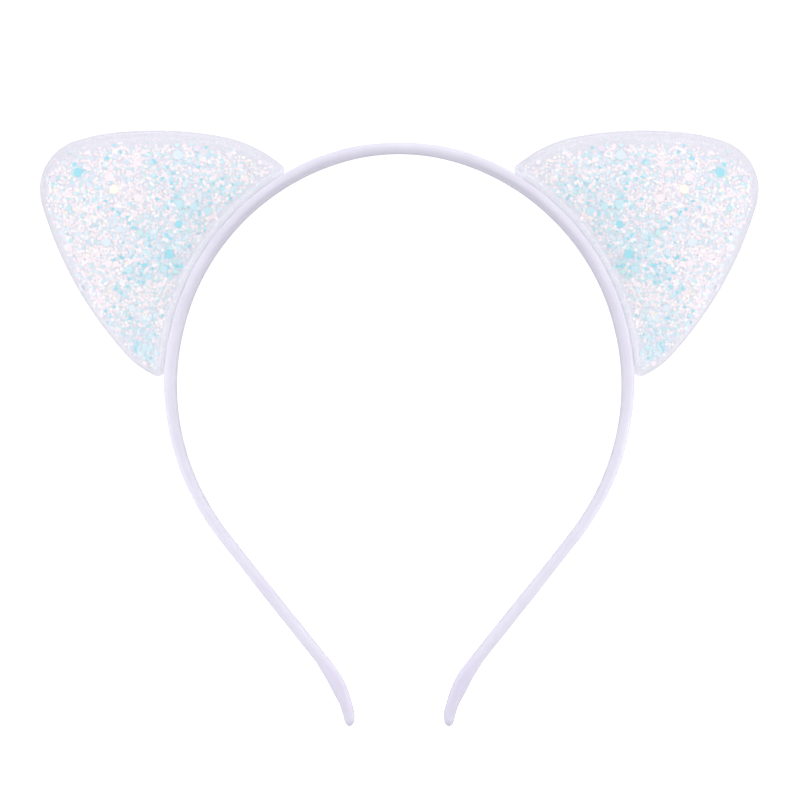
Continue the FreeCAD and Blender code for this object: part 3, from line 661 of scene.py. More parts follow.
pieces = {}
for side in ("left", "right"):
    mirror = side == "right"
    arm = side + "_arm"
    seed = 1.0 if side == "left" else 2.6

    # satin cover, from the middle of the crown to the tip
    s_cover = np.concatenate(
        [np.arange(0, S_END - 0.9, 0.62), [S_END - 0.9, S_END - 0.5]]
    )
    loop = rounded_loop(-1.5, 1.3, 4.0, 1.36, per_corner=10, across=2, along=12)
    cols = len(loop)
    loops = np.repeat(loop[None], len(s_cover), axis=0).copy()
    loops = fit_faces(loops, s_cover)
    for i, s in enumerate(s_cover):
        t = float(smoothstep(S_END - 9.5, S_END - 1.0, s))
        outside = loops[i, :, 0] > 0
        loops[i, outside, 0] *= 1 - 0.36 * t
        loops[i, :, 1] *= 1 - 0.10 * t
    outer = strip(loops, s_cover, wobble=0.035, seed=seed)
    # both halves meet at the crown's middle with the same section
    hold = smoothstep(0, 6, s_cover)[:, None, None]
    plain = strip(loops, s_cover)
    outer = plain + (outer - plain) * hold
    inner_loop = rounded_loop(-0.96, 0.96, 3.66, 0.86, per_corner=10, across=2, along=12)
    inner_loops = np.repeat(inner_loop[None], len(s_cover), axis=0).copy()
    core_fit = 1 - 0.42 * smoothstep(S_END - 9.5, S_END - 1.0, s_cover)
    inner_loops[:, :, 0] = np.where(
        inner_loops[:, :, 0] > 0, inner_loops[:, :, 0] * core_fit[:, None], inner_loops[:, :, 0]
    )
    inner_loops[:, :, 1] *= (1 - 0.12 * smoothstep(S_END - 9.5, S_END - 1.0, s_cover))[:, None]
    inner = strip(inner_loops, s_cover)
    girth = loop_lengths(loop)
    verts, faces, uv = shell(outer, inner, s_cover, cols, girth)
    cover = new_piece("satin_cover_" + side, verts, faces, mirror, True, uv, SATIN)
    shade_by_angle(cover, 50)
    # painted shade: strongest about 0.8 mm inward of the centreline, from 26 to 50 mm along the band, fading towards
    # the crown and down the arm
    shade_run = np.interp(s_cover, [0, 3, 14, 26, 38, 50, 62, 74, 86, 98], [0.1, 0.15, 0.35, 0.9, 1.0, 0.85, 0.6, 0.35, 0.1, 0])
    shade_fall = np.exp(-(((loops[:, :, 0] + 0.8) / 0.62) ** 2)) * shade_run[:, None]
    layer = cover.data.attributes.new("painted_shade", "FLOAT", "POINT")
    layer.data.foreach_set("value", np.concatenate([shade_fall.ravel(), shade_fall.ravel()]).astype(np.float32))

    # core strip inside the cover
    core_loop = rounded_loop(-0.92, 0.92, 3.62, 0.6, per_corner=4, across=2, along=6)
    s_core = np.concatenate([np.arange(0, S_END - 1.5, 1.3), [S_END - 1.2]])
    core_loops = np.repeat(core_loop[None], len(s_core), axis=0).copy()
    core_fit = 1 - 0.46 * smoothstep(S_END - 9.5, S_END - 1.0, s_core)
    core_loops[:, :, 0] = np.where(
        core_loops[:, :, 0] > 0, core_loops[:, :, 0] * core_fit[:, None], core_loops[:, :, 0]
    )
    core_loops[:, :, 1] *= (1 - 0.14 * smoothstep(S_END - 9.5, S_END - 1.0, s_core))[:, None]
    core_v = strip(core_loops, s_core)
    k = len(core_loop)
    core_f = grid_faces(len(s_core), k, True)
    core_f += [list(range(k))[::-1], [(len(s_core) - 1) * k + i for i in range(k)]]
    core = new_piece("core_strip_" + side, core_v.reshape(-1, 3), core_f, mirror, True, None, PLASTIC)
    shade_by_angle(core, 50)

    # lining ribbon on the inner face
    s_line = np.concatenate([np.arange(0, S_END - 1.0, 0.5), [S_END - 1.0]])
    rows_l = []
    for s in s_line:
        w = 2.72 + 0.05 * math.sin(s * 0.9 + seed) + 0.04 * math.sin(s * 2.3)
        rows_l.append(rounded_loop(-1.60, -1.44, w, 0.07, per_corner=3, across=1, along=12))
    rows_l = np.array(rows_l)
    # woven edges stand a little proud of the ribbon's face
    edge = smoothstep(0.80, 0.93, np.abs(rows_l[:, :, 1]) / 2.72)
    face = rows_l[:, :, 0] < -1.55
    rows_l[:, :, 0] -= 0.03 * edge * face
    rows_l[:, :, 0] -= np.interp(s_line, INNER[:, 0], INNER[:, 1])[:, None]
    line_v = strip(rows_l, s_line)
    k = rows_l.shape[1]
    line_f = grid_faces(len(s_line), k, True)
    line_girth = loop_lengths(rows_l[0])
    line_uv = strip_uv(line_f, k, s_line, line_girth)
    for row, order in ((0, -1), (len(s_line) - 1, 1)):
        ring = [row * k + i for i in range(k)][::order]
        line_f.append(ring)
        line_uv.append([(float(s_line[row]), float(line_girth[i % k])) for i in ring])
    lining = new_piece("lining_ribbon_" + side, line_v.reshape(-1, 3), line_f, mirror, True, line_uv, LINING)
    shade_by_angle(lining, 50)

    # folded end: the satin turned back over the tip and pressed flat
    tip_extra = 1.85
    s_fold = np.concatenate(
        [
            S_FOLD - 2.6 + np.array([0, 0.15, 0.4, 0.8, 1.3, 1.8, 2.3, 2.8]),
            np.arange(S_FOLD + 0.7, S_END - 0.2, 0.5),
            S_END + tip_extra * np.sin(np.linspace(0, math.pi / 2, 14)),
        ]
    )
    total = S_END + tip_extra
    fold_rows, fold_inner = [], []
    for s in s_fold:
        left_over = total - s
        lift = float(smoothstep(S_FOLD - 2.6, S_FOLD + 3.0, s))
        start = float(smoothstep(S_FOLD - 2.6, S_FOLD - 2.0, s))
        n_out = 1.31 + 0.03 * start + 0.14 * lift
        n_in = -1.84 - 0.03 * start - 0.13 * lift
        n_out += float(np.interp(left_over, [6.3, 8.3, 10, 12, 13, 15, 17, 19, 22], [0, 0.26, 0.47, 0.56, 0.54, 0.42, 0.30, 0.15, 0]))
        n_out -= 0.50 * float(smoothstep(9.0, 1.6, left_over))
        n_out -= 0.22 * float(smoothstep(4.0, 1.4, left_over))
        n_in -= 0.28 * float(smoothstep(6.5, 3.0, left_over))
        n_in += 0.12 * float(smoothstep(3.0, 1.2, left_over))
        half = 4.02 + 0.03 * start + 0.14 * lift - 0.35 * float(smoothstep(7.0, 0.8, left_over))
        if s > S_END:
            q = (s - S_END) / tip_extra
            close = math.sqrt(max(0.0, 1 - q * q))
            mid = (n_in + n_out) / 2
            n_out = mid + (n_out - mid) * max(close, 0.02)
            n_in = mid + (n_in - mid) * max(close, 0.02)
            half = half - 1.25 * (1 - close)
        fold_rows.append(
            rounded_loop(n_in, n_out, half, 1.40, per_corner=10, across=6, along=12)
        )
    fold_rows = np.array(fold_rows)
    # where the two flaps meet along each narrow side there is a shallow crease
    for i, s in enumerate(s_fold):
        n = fold_rows[i, :, 0]
        y = fold_rows[i, :, 1]
        deep = 0.10 * float(smoothstep(S_FOLD + 1, S_FOLD + 5, s)) * float(
            1 - smoothstep(S_END - 0.5, S_END + 1.5, s)
        )
        centre = -0.35 - 0.25 * math.sin((s - S_FOLD) * 0.35)
        groove = np.exp(-(((n - centre) / 0.22) ** 2)) * (np.abs(y) > 2.4)
        fold_rows[i, :, 1] -= np.sign(y) * deep * groove
    fold_v = strip(fold_rows, s_fold, wobble=0.03, seed=seed + 4)
    k = fold_rows.shape[1]
    rows_n = len(s_fold)
    last_inner = int(np.searchsorted(s_fold, S_END - 0.05))
    s_in = s_fold[:last_inner]
    in_rows = []
    for s in s_in:
        t = float(smoothstep(S_END - 8.5, S_END + 1.2, s))
        in_rows.append(
            rounded_loop(-1.835, 1.302 - 0.42 * t, 4.003 - 0.34 * t, 1.36, per_corner=10, across=6, along=12)
        )
    in_v = strip(np.array(in_rows), s_in)
    fold_verts = np.concatenate([fold_v.reshape(-1, 3), in_v.reshape(-1, 3)])
    fold_f = grid_faces(rows_n, k, True)
    fold_girth = loop_lengths(fold_rows[8])
    fold_uv = strip_uv(fold_f, k, s_fold, fold_girth)
    base = rows_n * k
    inner_f = grid_faces(len(s_in), k, True, flip=True)
    fold_uv += strip_uv(inner_f, k, s_in, fold_girth)
    fold_f += [[base + i for i in f] for f in inner_f]
    for j in range(k):
        j2 = (j + 1) % k
        fold_f.append([j2, j, base + j, base + j2])
        fold_uv.append([(0, 0), (0, 0.1), (0.1, 0.1), (0.1, 0)])
    fold_f.append([(rows_n - 1) * k + i for i in range(k)])
    fold_uv.append([(float(total), float(fold_girth[i])) for i in range(k)])
    fold_f.append([base + (len(s_in) - 1) * k + i for i in range(k)][::-1])
    fold_uv.append([(float(total), float(fold_girth[i])) for i in range(k)][::-1])
    fold = new_piece("folded_end_" + side, fold_verts, fold_f, mirror, True, fold_uv, SATIN_FOLD)
    shade_by_angle(fold, 60)

    pieces[side] = {"cover": cover, "core": core, "lining": lining, "fold": fold}

# ------------------------------------------------------------------ ear outline
TIP_C = np.array([-84.712, -9.955])
ARCS = [  # radius, start angle, stop angle, from root to heel
    (35.7, 50.25, 79.64),
    (100.93, 79.64, 97.38),
    (47.14, 97.38, 108.83),
    (14.16, 108.83, 196.06),
    (104.28, 196.06, 222.35),
    (25.04, 222.35, 247.2),
]
CORNER = 1.6
BASE_R = 65.6 + 1.30 + 0.65


def direction(a):
    a = math.radians(a)
    return np.array([math.cos(a), math.sin(a)])


CENTRES = [None] * 6
CENTRES[3] = TIP_C
CENTRES[2] = TIP_C + (14.16 - 47.14) * direction(108.83)
CENTRES[1] = CENTRES[2] + (47.14 - 100.93) * direction(97.38)
CENTRES[0] = CENTRES[1] + (100.93 - 35.7) * direction(79.64)
CENTRES[4] = TIP_C + (14.16 - 104.28) * direction(196.06)
CENTRES[5] = CENTRES[4] + (104.28 - 25.04) * direction(222.35)
SIDE_C = np.array(
    [
        -(56.8 - 65.6) * math.sin(math.radians(17.45)),
        SEAT - 56.8 + (56.8 - 65.6) * math.cos(math.radians(17.45)),
    ]
)


def crossing(ca, ra, cb, rb, near):
    d = cb - ca
    span = np.linalg.norm(d)
    along = (ra**2 - rb**2 + span**2) / (2 * span)
    side_ = math.sqrt(max(ra**2 - along**2, 0))
    u = d / span
    foot = ca + u * along
    both = [foot + side_ * np.array([-u[1], u[0]]), foot - side_ * np.array([-u[1], u[0]])]
    return min(both, key=lambda q: np.linalg.norm(q - near))


def angle_of(c, p):
    return math.degrees(math.atan2(p[1] - c[1], p[0] - c[0]))


COUNTS = [22, 32, 10, 30, 52, 16, 8, 74, 8]


def ear_ring(inset):
    """The ear's outline moved inward, as a closed ring of points that line up from
    one ring to the next, counter-clockwise seen from the front."""
    rb = BASE_R + inset
    up = crossing(CENTRES[0], 35.7 - inset - CORNER, SIDE_C, rb + CORNER, np.array([-31.0, -5.0]))
    low = crossing(CENTRES[5], 25.04 - inset - CORNER, SIDE_C, rb + CORNER, np.array([-65.0, -61.0]))
    a_root = angle_of(CENTRES[0], up)
    a_heel = angle_of(CENTRES[5], low) % 360
    b_up = angle_of(SIDE_C, up) % 360
    b_low = angle_of(SIDE_C, low) % 360
    spans = [(CENTRES[0], 35.7 - inset, a_root, ARCS[0][2])]
    spans += [(CENTRES[i], ARCS[i][0] - inset, ARCS[i][1], ARCS[i][2]) for i in range(1, 5)]
    spans += [(CENTRES[5], 25.04 - inset, ARCS[5][1], a_heel)]
    spans += [(low, CORNER, a_heel, b_low + 180)]
    spans += [(SIDE_C, rb, b_low, b_up)]
    spans += [(up, CORNER, b_up + 180 - 360, a_root)]
    pts = []
    for (c, r, a0, a1), count in zip(spans, COUNTS):
        if c is low:
            while a1 < a0:
                a1 += 360
        for k_ in range(count):
            a = math.radians(a0 + (a1 - a0) * k_ / count)
            pts.append((c[0] + r * math.cos(a), c[1] + r * math.sin(a)))
    return np.array(pts)


RING_N = sum(COUNTS)
RIM = 1.15
INSETS = [0.0, 0.12, 0.35, 0.62, 0.78, 0.9, 1.02, 1.15, 1.3, 1.5, 1.8, 2.15, 2.6, 3.1, 3.7, 4.3, 4.9]
RINGS = [ear_ring(d) for d in INSETS]


def inside(points, poly):
    x, y = points[:, 0], points[:, 1]
    px, py = poly[:, 0], poly[:, 1]
    qx, qy = np.roll(px, -1), np.roll(py, -1)
    res = np.zeros(len(points), bool)
    for i in range(len(poly)):
        cond = (py[i] > y) != (qy[i] > y)
        if cond.any():
            xi = (qx[i] - px[i]) * (y - py[i]) / (qy[i] - py[i] + 1e-12) + px[i]
            res ^= cond & (x < xi)
    return res


def distance_to(points, poly):
    """Distance from each point to a closed polygon."""
    a = poly
    b = np.roll(poly, -1, axis=0)
    best = np.full(len(points), 1e9)
    d = b - a
    ll = (d**2).sum(1) + 1e-12
    for i in range(len(poly)):
        t = np.clip(((points - a[i]) @ d[i]) / ll[i], 0, 1)
        q = a[i] + t[:, None] * d[i]
        best = np.minimum(best, np.hypot(points[:, 0] - q[:, 0], points[:, 1] - q[:, 1]))
    return best


# Plan of the ear: rings near the rim, an even lattice inside them.
last = RINGS[-1]
pitch = 1.15
lo, hi = last.min(0), last.max(0)
lattice = []
row = 0
yy = lo[1]
while yy < hi[1]:
    xs = np.arange(lo[0] + (pitch / 2 if row % 2 else 0), hi[0], pitch)
    lattice += [(x, yy) for x in xs]
    yy += pitch * math.sqrt(3) / 2
    row += 1
lattice = np.array(lattice)
lattice = lattice[inside(lattice, last)]
lattice = lattice[distance_to(lattice, last) > 0.6]
seeds = np.concatenate([last, lattice])
edges = [(i, (i + 1) % RING_N) for i in range(RING_N)]
vs, es, fs, ov, oe, of = geometry.delaunay_2d_cdt(
    [Vector((float(p[0]), float(p[1]))) for p in seeds], edges, [], 1, 1e-5
)
assert len(vs) == len(seeds)
origin = [o[0] for o in ov]
middle_faces = [[origin[i] for i in f] for f in fs]
offset = (len(RINGS) - 1) * RING_N
PLAN = np.concatenate([np.concatenate(RINGS[:-1]), seeds])
PLAN_FACES = grid_faces(len(RINGS), RING_N, True)
PLAN_FACES += [[offset + i for i in f] for f in middle_faces]


def face_up(plan, faces):
    """All faces turned so that they face the viewer in front (towards -Y)."""
    res = []
    for f in faces:
        p = plan[f]
        area = 0.0
        for i in range(len(f)):
            j = (i + 1) % len(f)
            area += p[i][0] * p[j][1] - p[j][0] * p[i][1]
        res.append(list(f) if area > 0 else list(f)[::-1])
    return res


PLAN_FACES = face_up(PLAN, PLAN_FACES)
PLAN_D = distance_to(PLAN, RINGS[0])
PLAN_D[: RING_N] = 0


def relax(values, faces, fixed, source, rounds):
    """Height of an evenly loaded membrane over the plan: each free point moves to
    the mean of its neighbours plus the load."""
    n = len(values)
    pairs = set()
    for f in faces:
        for i in range(len(f)):
            a, b = f[i], f[(i + 1) % len(f)]
            pairs.add((min(a, b), max(a, b)))
    e = np.array(sorted(pairs))
    length = np.linalg.norm(PLAN[e[:, 0]] - PLAN[e[:, 1]], axis=1) + 1e-6
    w = 1.0 / length
    total_w = np.bincount(e[:, 0], w, n) + np.bincount(e[:, 1], w, n)
    cell = np.bincount(e[:, 0], length, n) + np.bincount(e[:, 1], length, n)
    load = source * cell / total_w
    h = values.copy()
    over = 1.0
    prev = h.copy()
    for k_ in range(rounds):
        s_ = np.bincount(e[:, 0], w * h[e[:, 1]], n) + np.bincount(e[:, 1], w * h[e[:, 0]], n)
        target = s_ / total_w + load
        new = h + 1.0 * (target - h)
        # momentum makes the long waves settle quickly
        step = new + 0.985 * (h - prev) * (k_ > 2)
        prev = h
        h = step
        h[fixed] = 0
    return h


fixed = PLAN_D < 0.40
phi = relax(np.zeros(len(PLAN)), PLAN_FACES, fixed, 0.05, 900)
phi = np.clip(phi / phi.max(), 0, None)
# the pillow: steep at the pressed rim, low crown in the middle
CROWN = phi**0.45
_top = smoothstep(-16, -5, PLAN[:, 1])
CROWN = CROWN * (1 - _top * (1 - smoothstep(0.4, 2.3, PLAN_D)))


def rim_profile(d):
    """Relief of the pressed rim: two fine lines run round just inside the edge."""
    line = np.exp(-(((d - 0.62) / 0.10) ** 2)) + 0.8 * np.exp(-(((d - 1.02) / 0.09) ** 2))
    edge = 1 - np.sqrt(np.clip(1 - (1 - np.clip(d / 0.25, 0, 1)) ** 2, 0, 1))
    return -0.035 * line - 0.24 * edge


FRONT_H = 0.50 + rim_profile(PLAN_D) + 4.6 * CROWN
BACK_H = 0.42 + 0.6 * rim_profile(PLAN_D) + 2.55 * CROWN

# Along the base the two sheets stay apart: a flat flange stands against the band,
# with a crease where it turns into the pad.
BASE_D = np.hypot(PLAN[:, 0] - SIDE_C[0], PLAN[:, 1] - SIDE_C[1]) - BASE_R
_far = np.concatenate([RINGS[0][: sum(COUNTS[:6])]])
FREE_D = np.full(len(PLAN), 1e9)
for _i in range(len(_far) - 1):
    _a, _b = _far[_i], _far[_i + 1]
    _d = _b - _a
    _t = np.clip(((PLAN - _a) @ _d) / (_d @ _d), 0, 1)
    _q = _a + _t[:, None] * _d
    FREE_D = np.minimum(FREE_D, np.hypot(PLAN[:, 0] - _q[:, 0], PLAN[:, 1] - _q[:, 1]))
FLANGE = smoothstep(3.4, 1.2, BASE_D) * smoothstep(-0.2, 4.2, FREE_D)


def flange(height, level, crease):
    edge = 1 - np.sqrt(np.clip(1 - (1 - np.clip(BASE_D / 0.45, 0, 1)) ** 2, 0, 1))
    want = level + 0.10 * np.sin(np.clip(BASE_D / 1.4, 0, 1) * math.pi) - 0.08 * edge
    want = np.maximum(want, height)
    want = want - crease * np.exp(-(((BASE_D - 1.45) / 0.20) ** 2))
    return height + (want - height) * FLANGE


FRONT_H = flange(FRONT_H, 3.25, 0.12)
BACK_H = flange(BACK_H, 1.75, 0.18)
# the flange's outer edge is pressed against the satin
_edge = smoothstep(0.5, 0.0, BASE_D) * smoothstep(0.2, 2.4, FREE_D)
_to = np.stack([SIDE_C[0] - PLAN[:, 0], SIDE_C[1] - PLAN[:, 1]], 1)
_to /= np.linalg.norm(_to, axis=1)[:, None]
PLAN_FRONT = PLAN + _to * (0.28 * _edge)[:, None]
PLAN_BACK = PLAN + _to * (0.17 * _edge)[:, None]
SOLID = smoothstep(1.9, 1.0, BASE_D) * smoothstep(0.0, 0.12, FLANGE)


def undulate(plan, d, seed, amount):
    """Soft dents and puckers of a hand-pressed pad."""
    x, z = plan[:, 0], plan[:, 1]
    w = (
        np.sin(x * 0.21 + z * 0.13 + seed)
        + np.sin(x * -0.12 + z * 0.27 + 2.1 * seed)
        + 0.6 * np.sin(x * 0.45 + z * 0.38 + 0.7 * seed)
    )
    pucker = np.sin(np.arctan2(z + 25, x + 68) * 46 + seed) * np.exp(-(((d - 2.0) / 1.1) ** 2))
    return amount * (w * 0.35 * smoothstep(1.5, 6, d) + 0.5 * pucker)


def sheet_mesh(plan, plan_out, faces, outer, inner, sign):
    """A thin domed sheet closed round its edge. sign -1 faces the front."""
    n = len(plan)
    v_out = np.stack([plan_out[:, 0], sign * outer, plan_out[:, 1]], 1)
    v_in = np.stack([plan[:, 0], sign * inner, plan[:, 1]], 1)
    front = [list(f) if sign < 0 else list(f)[::-1] for f in faces]
    back = [[i + n for i in f[::-1]] for f in front]
    skirt = []
    for i in range(RING_N):
        j = (i + 1) % RING_N
        f = [i, i + n, j + n, j]
        skirt.append(f if sign < 0 else f[::-1])
    return np.concatenate([v_out, v_in]), front + back + skirt


for side in ("left", "right"):
    mirror = side == "right"
    seed = 1.3 if side == "left" else 4.2
    front = FRONT_H + undulate(PLAN, PLAN_D, seed, 0.16)
    back = BACK_H + undulate(PLAN, PLAN_D, seed + 9, 0.12)
    front_in = np.maximum(front - 0.45 * (1 + 0.5 * (1 - smoothstep(1.2, 3.5, PLAN_D))), 0.015)
    back_in = np.maximum(back - 0.38 * (1 + 0.5 * (1 - smoothstep(1.2, 3.5, PLAN_D))), 0.015)
    # the base edge is folded over down to the middle
    front_in = front_in + (0.015 - front_in) * SOLID
    back_in = back_in + (0.015 - back_in) * SOLID
    v, f = sheet_mesh(PLAN, PLAN_FRONT, PLAN_FACES, front, front_in, -1)
    ear_front = new_piece("ear_glitter_sheet_" + side, v, f, mirror, True, None, SHEET)
    v, f = sheet_mesh(PLAN, PLAN_BACK, PLAN_FACES, back, back_in, 1)
    ear_back = new_piece("ear_backing_" + side, v, f, mirror, True, None, FELT)
    # foam between the sheets, from the inner edge of the rim
    first = 8 * RING_N
    keep = [ff for ff in PLAN_FACES if min(ff) >= first]
    n0 = len(PLAN) - first
    fr = np.stack([PLAN[first:, 0], -(front_in[first:] - 0.03), PLAN[first:, 1]], 1)
    bk = np.stack([PLAN[first:, 0], back_in[first:] - 0.03, PLAN[first:, 1]], 1)
    ff_ = [[i - first for i in q] for q in keep]
    fb_ = [[i - first + n0 for i in q[::-1]] for q in keep]
    sk = [[i, i + n0, (i + 1) % RING_N + n0, (i + 1) % RING_N] for i in range(RING_N)]
    ear_foam = new_piece("ear_foam_pad_" + side, np.concatenate([fr, bk]), ff_ + fb_ + sk, mirror, True, None, FOAM)
    for ob in (ear_front, ear_back, ear_foam):
        shade_by_angle(ob, 55)
    near_top = 1.0 + 1.3 * smoothstep(-8, 4, PLAN[:, 1])
    tone = smoothstep(0.9, 3.2, PLAN_D / near_top) * smoothstep(1.0, 2.4, BASE_D)
    tone = np.maximum(tone, 0.75 * FLANGE)
    layer = ear_front.data.attributes.new("pad", "FLOAT", "POINT")
    layer.data.foreach_set("value", np.concatenate([tone, tone]).astype(np.float32))
    pieces[side].update(front=ear_front, back=ear_back, foam=ear_foam)
    pieces[side]["front_h"] = front

# ------------------------------------------------------------------ glitter
# Large flakes that stand out, as (x, z, width, tint) on the left ear.
LARGE = [
    (-88.0, -5.4, 2.7, DEEP),
    (-79.4, -6.6, 2.9, PINK),
    (-78.1, -10.1, 2.9, CREAM),
    (-71.6, -12.4, 2.6, PINK),
    (-60.7, -0.7, 3.0, ICE),
    (-60.4, -14.2, 2.9, AQUA),
    (-56.3, -14.8, 2.3, AQUA),
    (-52.6, -16.0, 2.7, AQUA),
    (-60.4, -19.6, 2.2, DEEP),
    (-62.9, -27.8, 2.6, DEEP),
    (-64.6, -31.9, 2.3, AQUA),
    (-80.2, -24.6, 2.7, ICE),
    (-74.0, -32.0, 2.4, AQUA),
    (-68.7, -33.9, 1.9, AQUA),
    (-76.7, -21.0, 2.3, ICE),
    (-71.0, -22.0, 1.9, MINT),
    (-73.2, -42.6, 2.2, ICE),
    (-95.0, -7.2, 2.2, LILAC),
    (-66.0, -1.8, 1.9, LILAC),
    (-55.5, 1.2, 2.2, LILAC),
    (-53.6, -1.9, 1.8, PINK),
    (-87.2, -37.2, 1.7, LILAC),
    (-79.7, -30.4, 2.3, PINK),
    (-77.6, -30.5, 1.9, PINK),
    (-69.2, -24.9, 1.8, AQUA),
    (-66.8, -44.6, 1.9, ICE),
    (-90.6, -15.2, 1.8, AQUA),
    (-61.5, -32.5, 1.7, MINT),
    (-58.6, -8.6, 1.8, ICE),
]
# Places where aqua gathers, as (x, z, spread, strength).
POOLS = [
    (-58.0, -15.0, 6.5, 0.55),
    (-63.0, -28.0, 6.5, 0.75),
    (-68.5, -54.0, 5.5, 0.85),
    (-72.5, -33.0, 5.0, 0.5),
    (-46.5, -10.0, 4.5, 0.5),
    (-88.0, -6.0, 4.0, 0.45),
    (-84.0, -17.0, 5.0, 0.25),
    (-66.0, -3.5, 5.0, 0.30),
    (-56.5, -3.5, 6.0, 0.25),
    (-74.0, -47.0, 5.0, 0.35),
    (-71.0, -21.0, 4.0, 0.4),
]


def aqua_share(x, z):
    v = 0.10
    for cx, cz, spread, strength in POOLS:
        v += strength * math.exp(-((x - cx) ** 2 + (z - cz) ** 2) / (2 * spread**2) * 1.6)
    return min(v, 0.85)


class Flakes:
    """Collects thin closed prisms, each lying on the ear's surface."""

    def __init__(self):
        self.verts, self.faces, self.mats = [], [], []

    def put(self, centre, normal, width, thick, sides, spin, tilt, tilt_dir, tint, squeeze=1.0):
        n = np.array(normal, float)
        a = np.cross(n, [0.0, 0.0, 1.0])
        if np.linalg.norm(a) < 1e-3:
            a = np.array([1.0, 0, 0])
        a /= np.linalg.norm(a)
        b = np.cross(n, a)
        lean = math.cos(tilt_dir) * a + math.sin(tilt_dir) * b
        n2 = n * math.cos(tilt) + lean * math.sin(tilt)
        a2 = a - n2 * (a @ n2)
        a2 /= np.linalg.norm(a2)
        b2 = np.cross(n2, a2)
        base = len(self.verts)
        r = width / 2
        ring = []
        for k_ in range(sides):
            t = spin + 2 * math.pi * k_ / sides
            ring.append(r * math.cos(t) * a2 + r * squeeze * math.sin(t) * b2)
        c = np.array(centre, float)
        for h_ in (thick / 2, -thick / 2):
            for q in ring:
                self.verts.append(c + q + n2 * h_)
        self.faces.append([base + i for i in range(sides)])
        self.faces.append([base + sides + i for i in range(sides)][::-1])
        for i in range(sides):
            j = (i + 1) % sides
            self.faces.append([base + j, base + i, base + sides + i, base + sides + j])
        self.mats += [tint] * (sides + 2)

    def piece(self, name, mirror):
        used = sorted(set(self.mats))
        index = {m: i for i, m in enumerate(used)}
        ob = new_piece(name, self.verts, self.faces, mirror, False, None, [FLAKES[m] for m in used])
        ob.data.polygons.foreach_set("material_index", [index[m] for m in self.mats])
        ob.data.update()
        return ob


def scatter(rng, poly, spacing, tries):
    """Points at least spacing apart inside a polygon, by dart throwing."""
    lo_, hi_ = poly.min(0), poly.max(0)
    cell = spacing / math.sqrt(2)
    grid = {}
    darts = rng.random((tries, 2)) * (hi_ - lo_) + lo_
    darts = darts[inside(darts, poly)]
    kept = []
    for p in darts:
        gx, gy = int(p[0] / cell), int(p[1] / cell)
        ok = True
        for i in range(gx - 2, gx + 3):
            for j in range(gy - 2, gy + 3):
                q = grid.get((i, j))
                if q is not None and (q[0] - p[0]) ** 2 + (q[1] - p[1]) ** 2 < spacing**2:
                    ok = False
                    break
            if not ok:
                break
        if ok:
            grid[(gx, gy)] = p
            kept.append(p)
    return np.array(kept)


TINTS = {
    "warm": ([PINK, WHITE, ROSE, CREAM, LILAC, ICE], [0.52, 0.22, 0.05, 0.02, 0.04, 0.15]),
    "cool": ([AQUA, ICE, DEEP, MINT, LILAC], [0.44, 0.36, 0.09, 0.05, 0.06]),
}


def pick_tint(rng, x, z):
    kind = "cool" if rng.random() < aqua_share(x, z) else "warm"
    tints, weights = TINTS[kind]
    return int(rng.choice(tints, p=weights))


for side in ("left", "right"):
    mirror = side == "right"
    rng = np.random.default_rng(20)
    height = pieces[side]["front_h"]
    surf = [Vector((float(p[0]), float(-h_), float(p[1]))) for p, h_ in zip(PLAN, height)]
    tree = BVHTree.FromPolygons(surf, PLAN_FACES)

    def ground(x, z):
        hit = tree.ray_cast(Vector((x, -30.0, z)), Vector((0, 1, 0)))
        if hit[0] is None:
            return None, None
        n_ = np.array(hit[1])
        if n_[1] > 0:
            n_ = -n_
        return np.array(hit[0]), n_

    big, small, fine = Flakes(), Flakes(), Flakes()
    taken = []
    for x, z, width, tint in LARGE:
        c, n_ = ground(x, z)
        if c is None:
            continue
        big.put(c + n_ * 0.13, n_, width, 0.05, 6, rng.random() * 6.28, rng.random() * 0.08, rng.random() * 6.28, tint)
        taken.append((x, z, width / 2))
    taken = np.array(taken)

    spots = scatter(rng, RINGS[6], 0.66, 70000)
    d = distance_to(spots, RINGS[0])
    for (x, z), dd in zip(spots, d):
        near_top = 1.0 + 1.3 * float(smoothstep(-8, 4, z))
        chance = float(smoothstep(1.0 * near_top, 3.5 * near_top, dd))
        if rng.random() > chance:
            continue
        if (np.hypot(taken[:, 0] - x, taken[:, 1] - z) < taken[:, 2] * 0.86).any():
            continue
        c, n_ = ground(x, z)
        if c is None:
            continue
        width = float(rng.choice([0.75, 0.95, 1.1, 1.4], p=[0.24, 0.46, 0.22, 0.08]))
        tint = pick_tint(rng, x, z)
        small.put(
            c + n_ * (0.035 + 0.05 * rng.random()),
            n_,
            width,
            0.04,
            6,
            rng.random() * 6.28,
            abs(rng.normal(0, 0.12)),
            rng.random() * 6.28,
            tint,
        )
    dust = scatter(rng, RINGS[2], 0.34, 110000)
    d = distance_to(dust, RINGS[0])
    for (x, z), dd in zip(dust, d):
        chance = 0.85 * float(smoothstep(0.35, 1.5, dd)) * (1 - 0.33 * float(smoothstep(4, 7, dd)))
        if rng.random() > chance:
            continue
        c, n_ = ground(x, z)
        if c is None:
            continue
        width = 0.26 + 0.2 * rng.random()
        tint = pick_tint(rng, x, z)
        if rng.random() < 0.42:
            tint = LILAC
        if dd < 3.2 and rng.random() < 0.55:
            tint = int(rng.choice([LILAC, ICE, WHITE], p=[0.55, 0.25, 0.20]))
        if rng.random() < 0.004 and dd > 4:
            tint = SPECK
        fine.put(
            c + n_ * (0.02 + 0.06 * rng.random()),
            n_,
            width,
            0.03,
            4,
            rng.random() * 6.28,
            abs(rng.normal(0, 0.3)),
            rng.random() * 6.28,
            tint,
            squeeze=0.8,
        )
    pieces[side]["big"] = big.piece("glitter_hexagons_" + side, mirror)
    pieces[side]["small"] = small.piece("glitter_sequins_" + side, mirror)
    pieces[side]["fine"] = fine.piece("glitter_dust_" + side, mirror)
    print(side, "flakes", len(big.mats) // 8, len(small.mats) // 8, len(fine.mats) // 6)

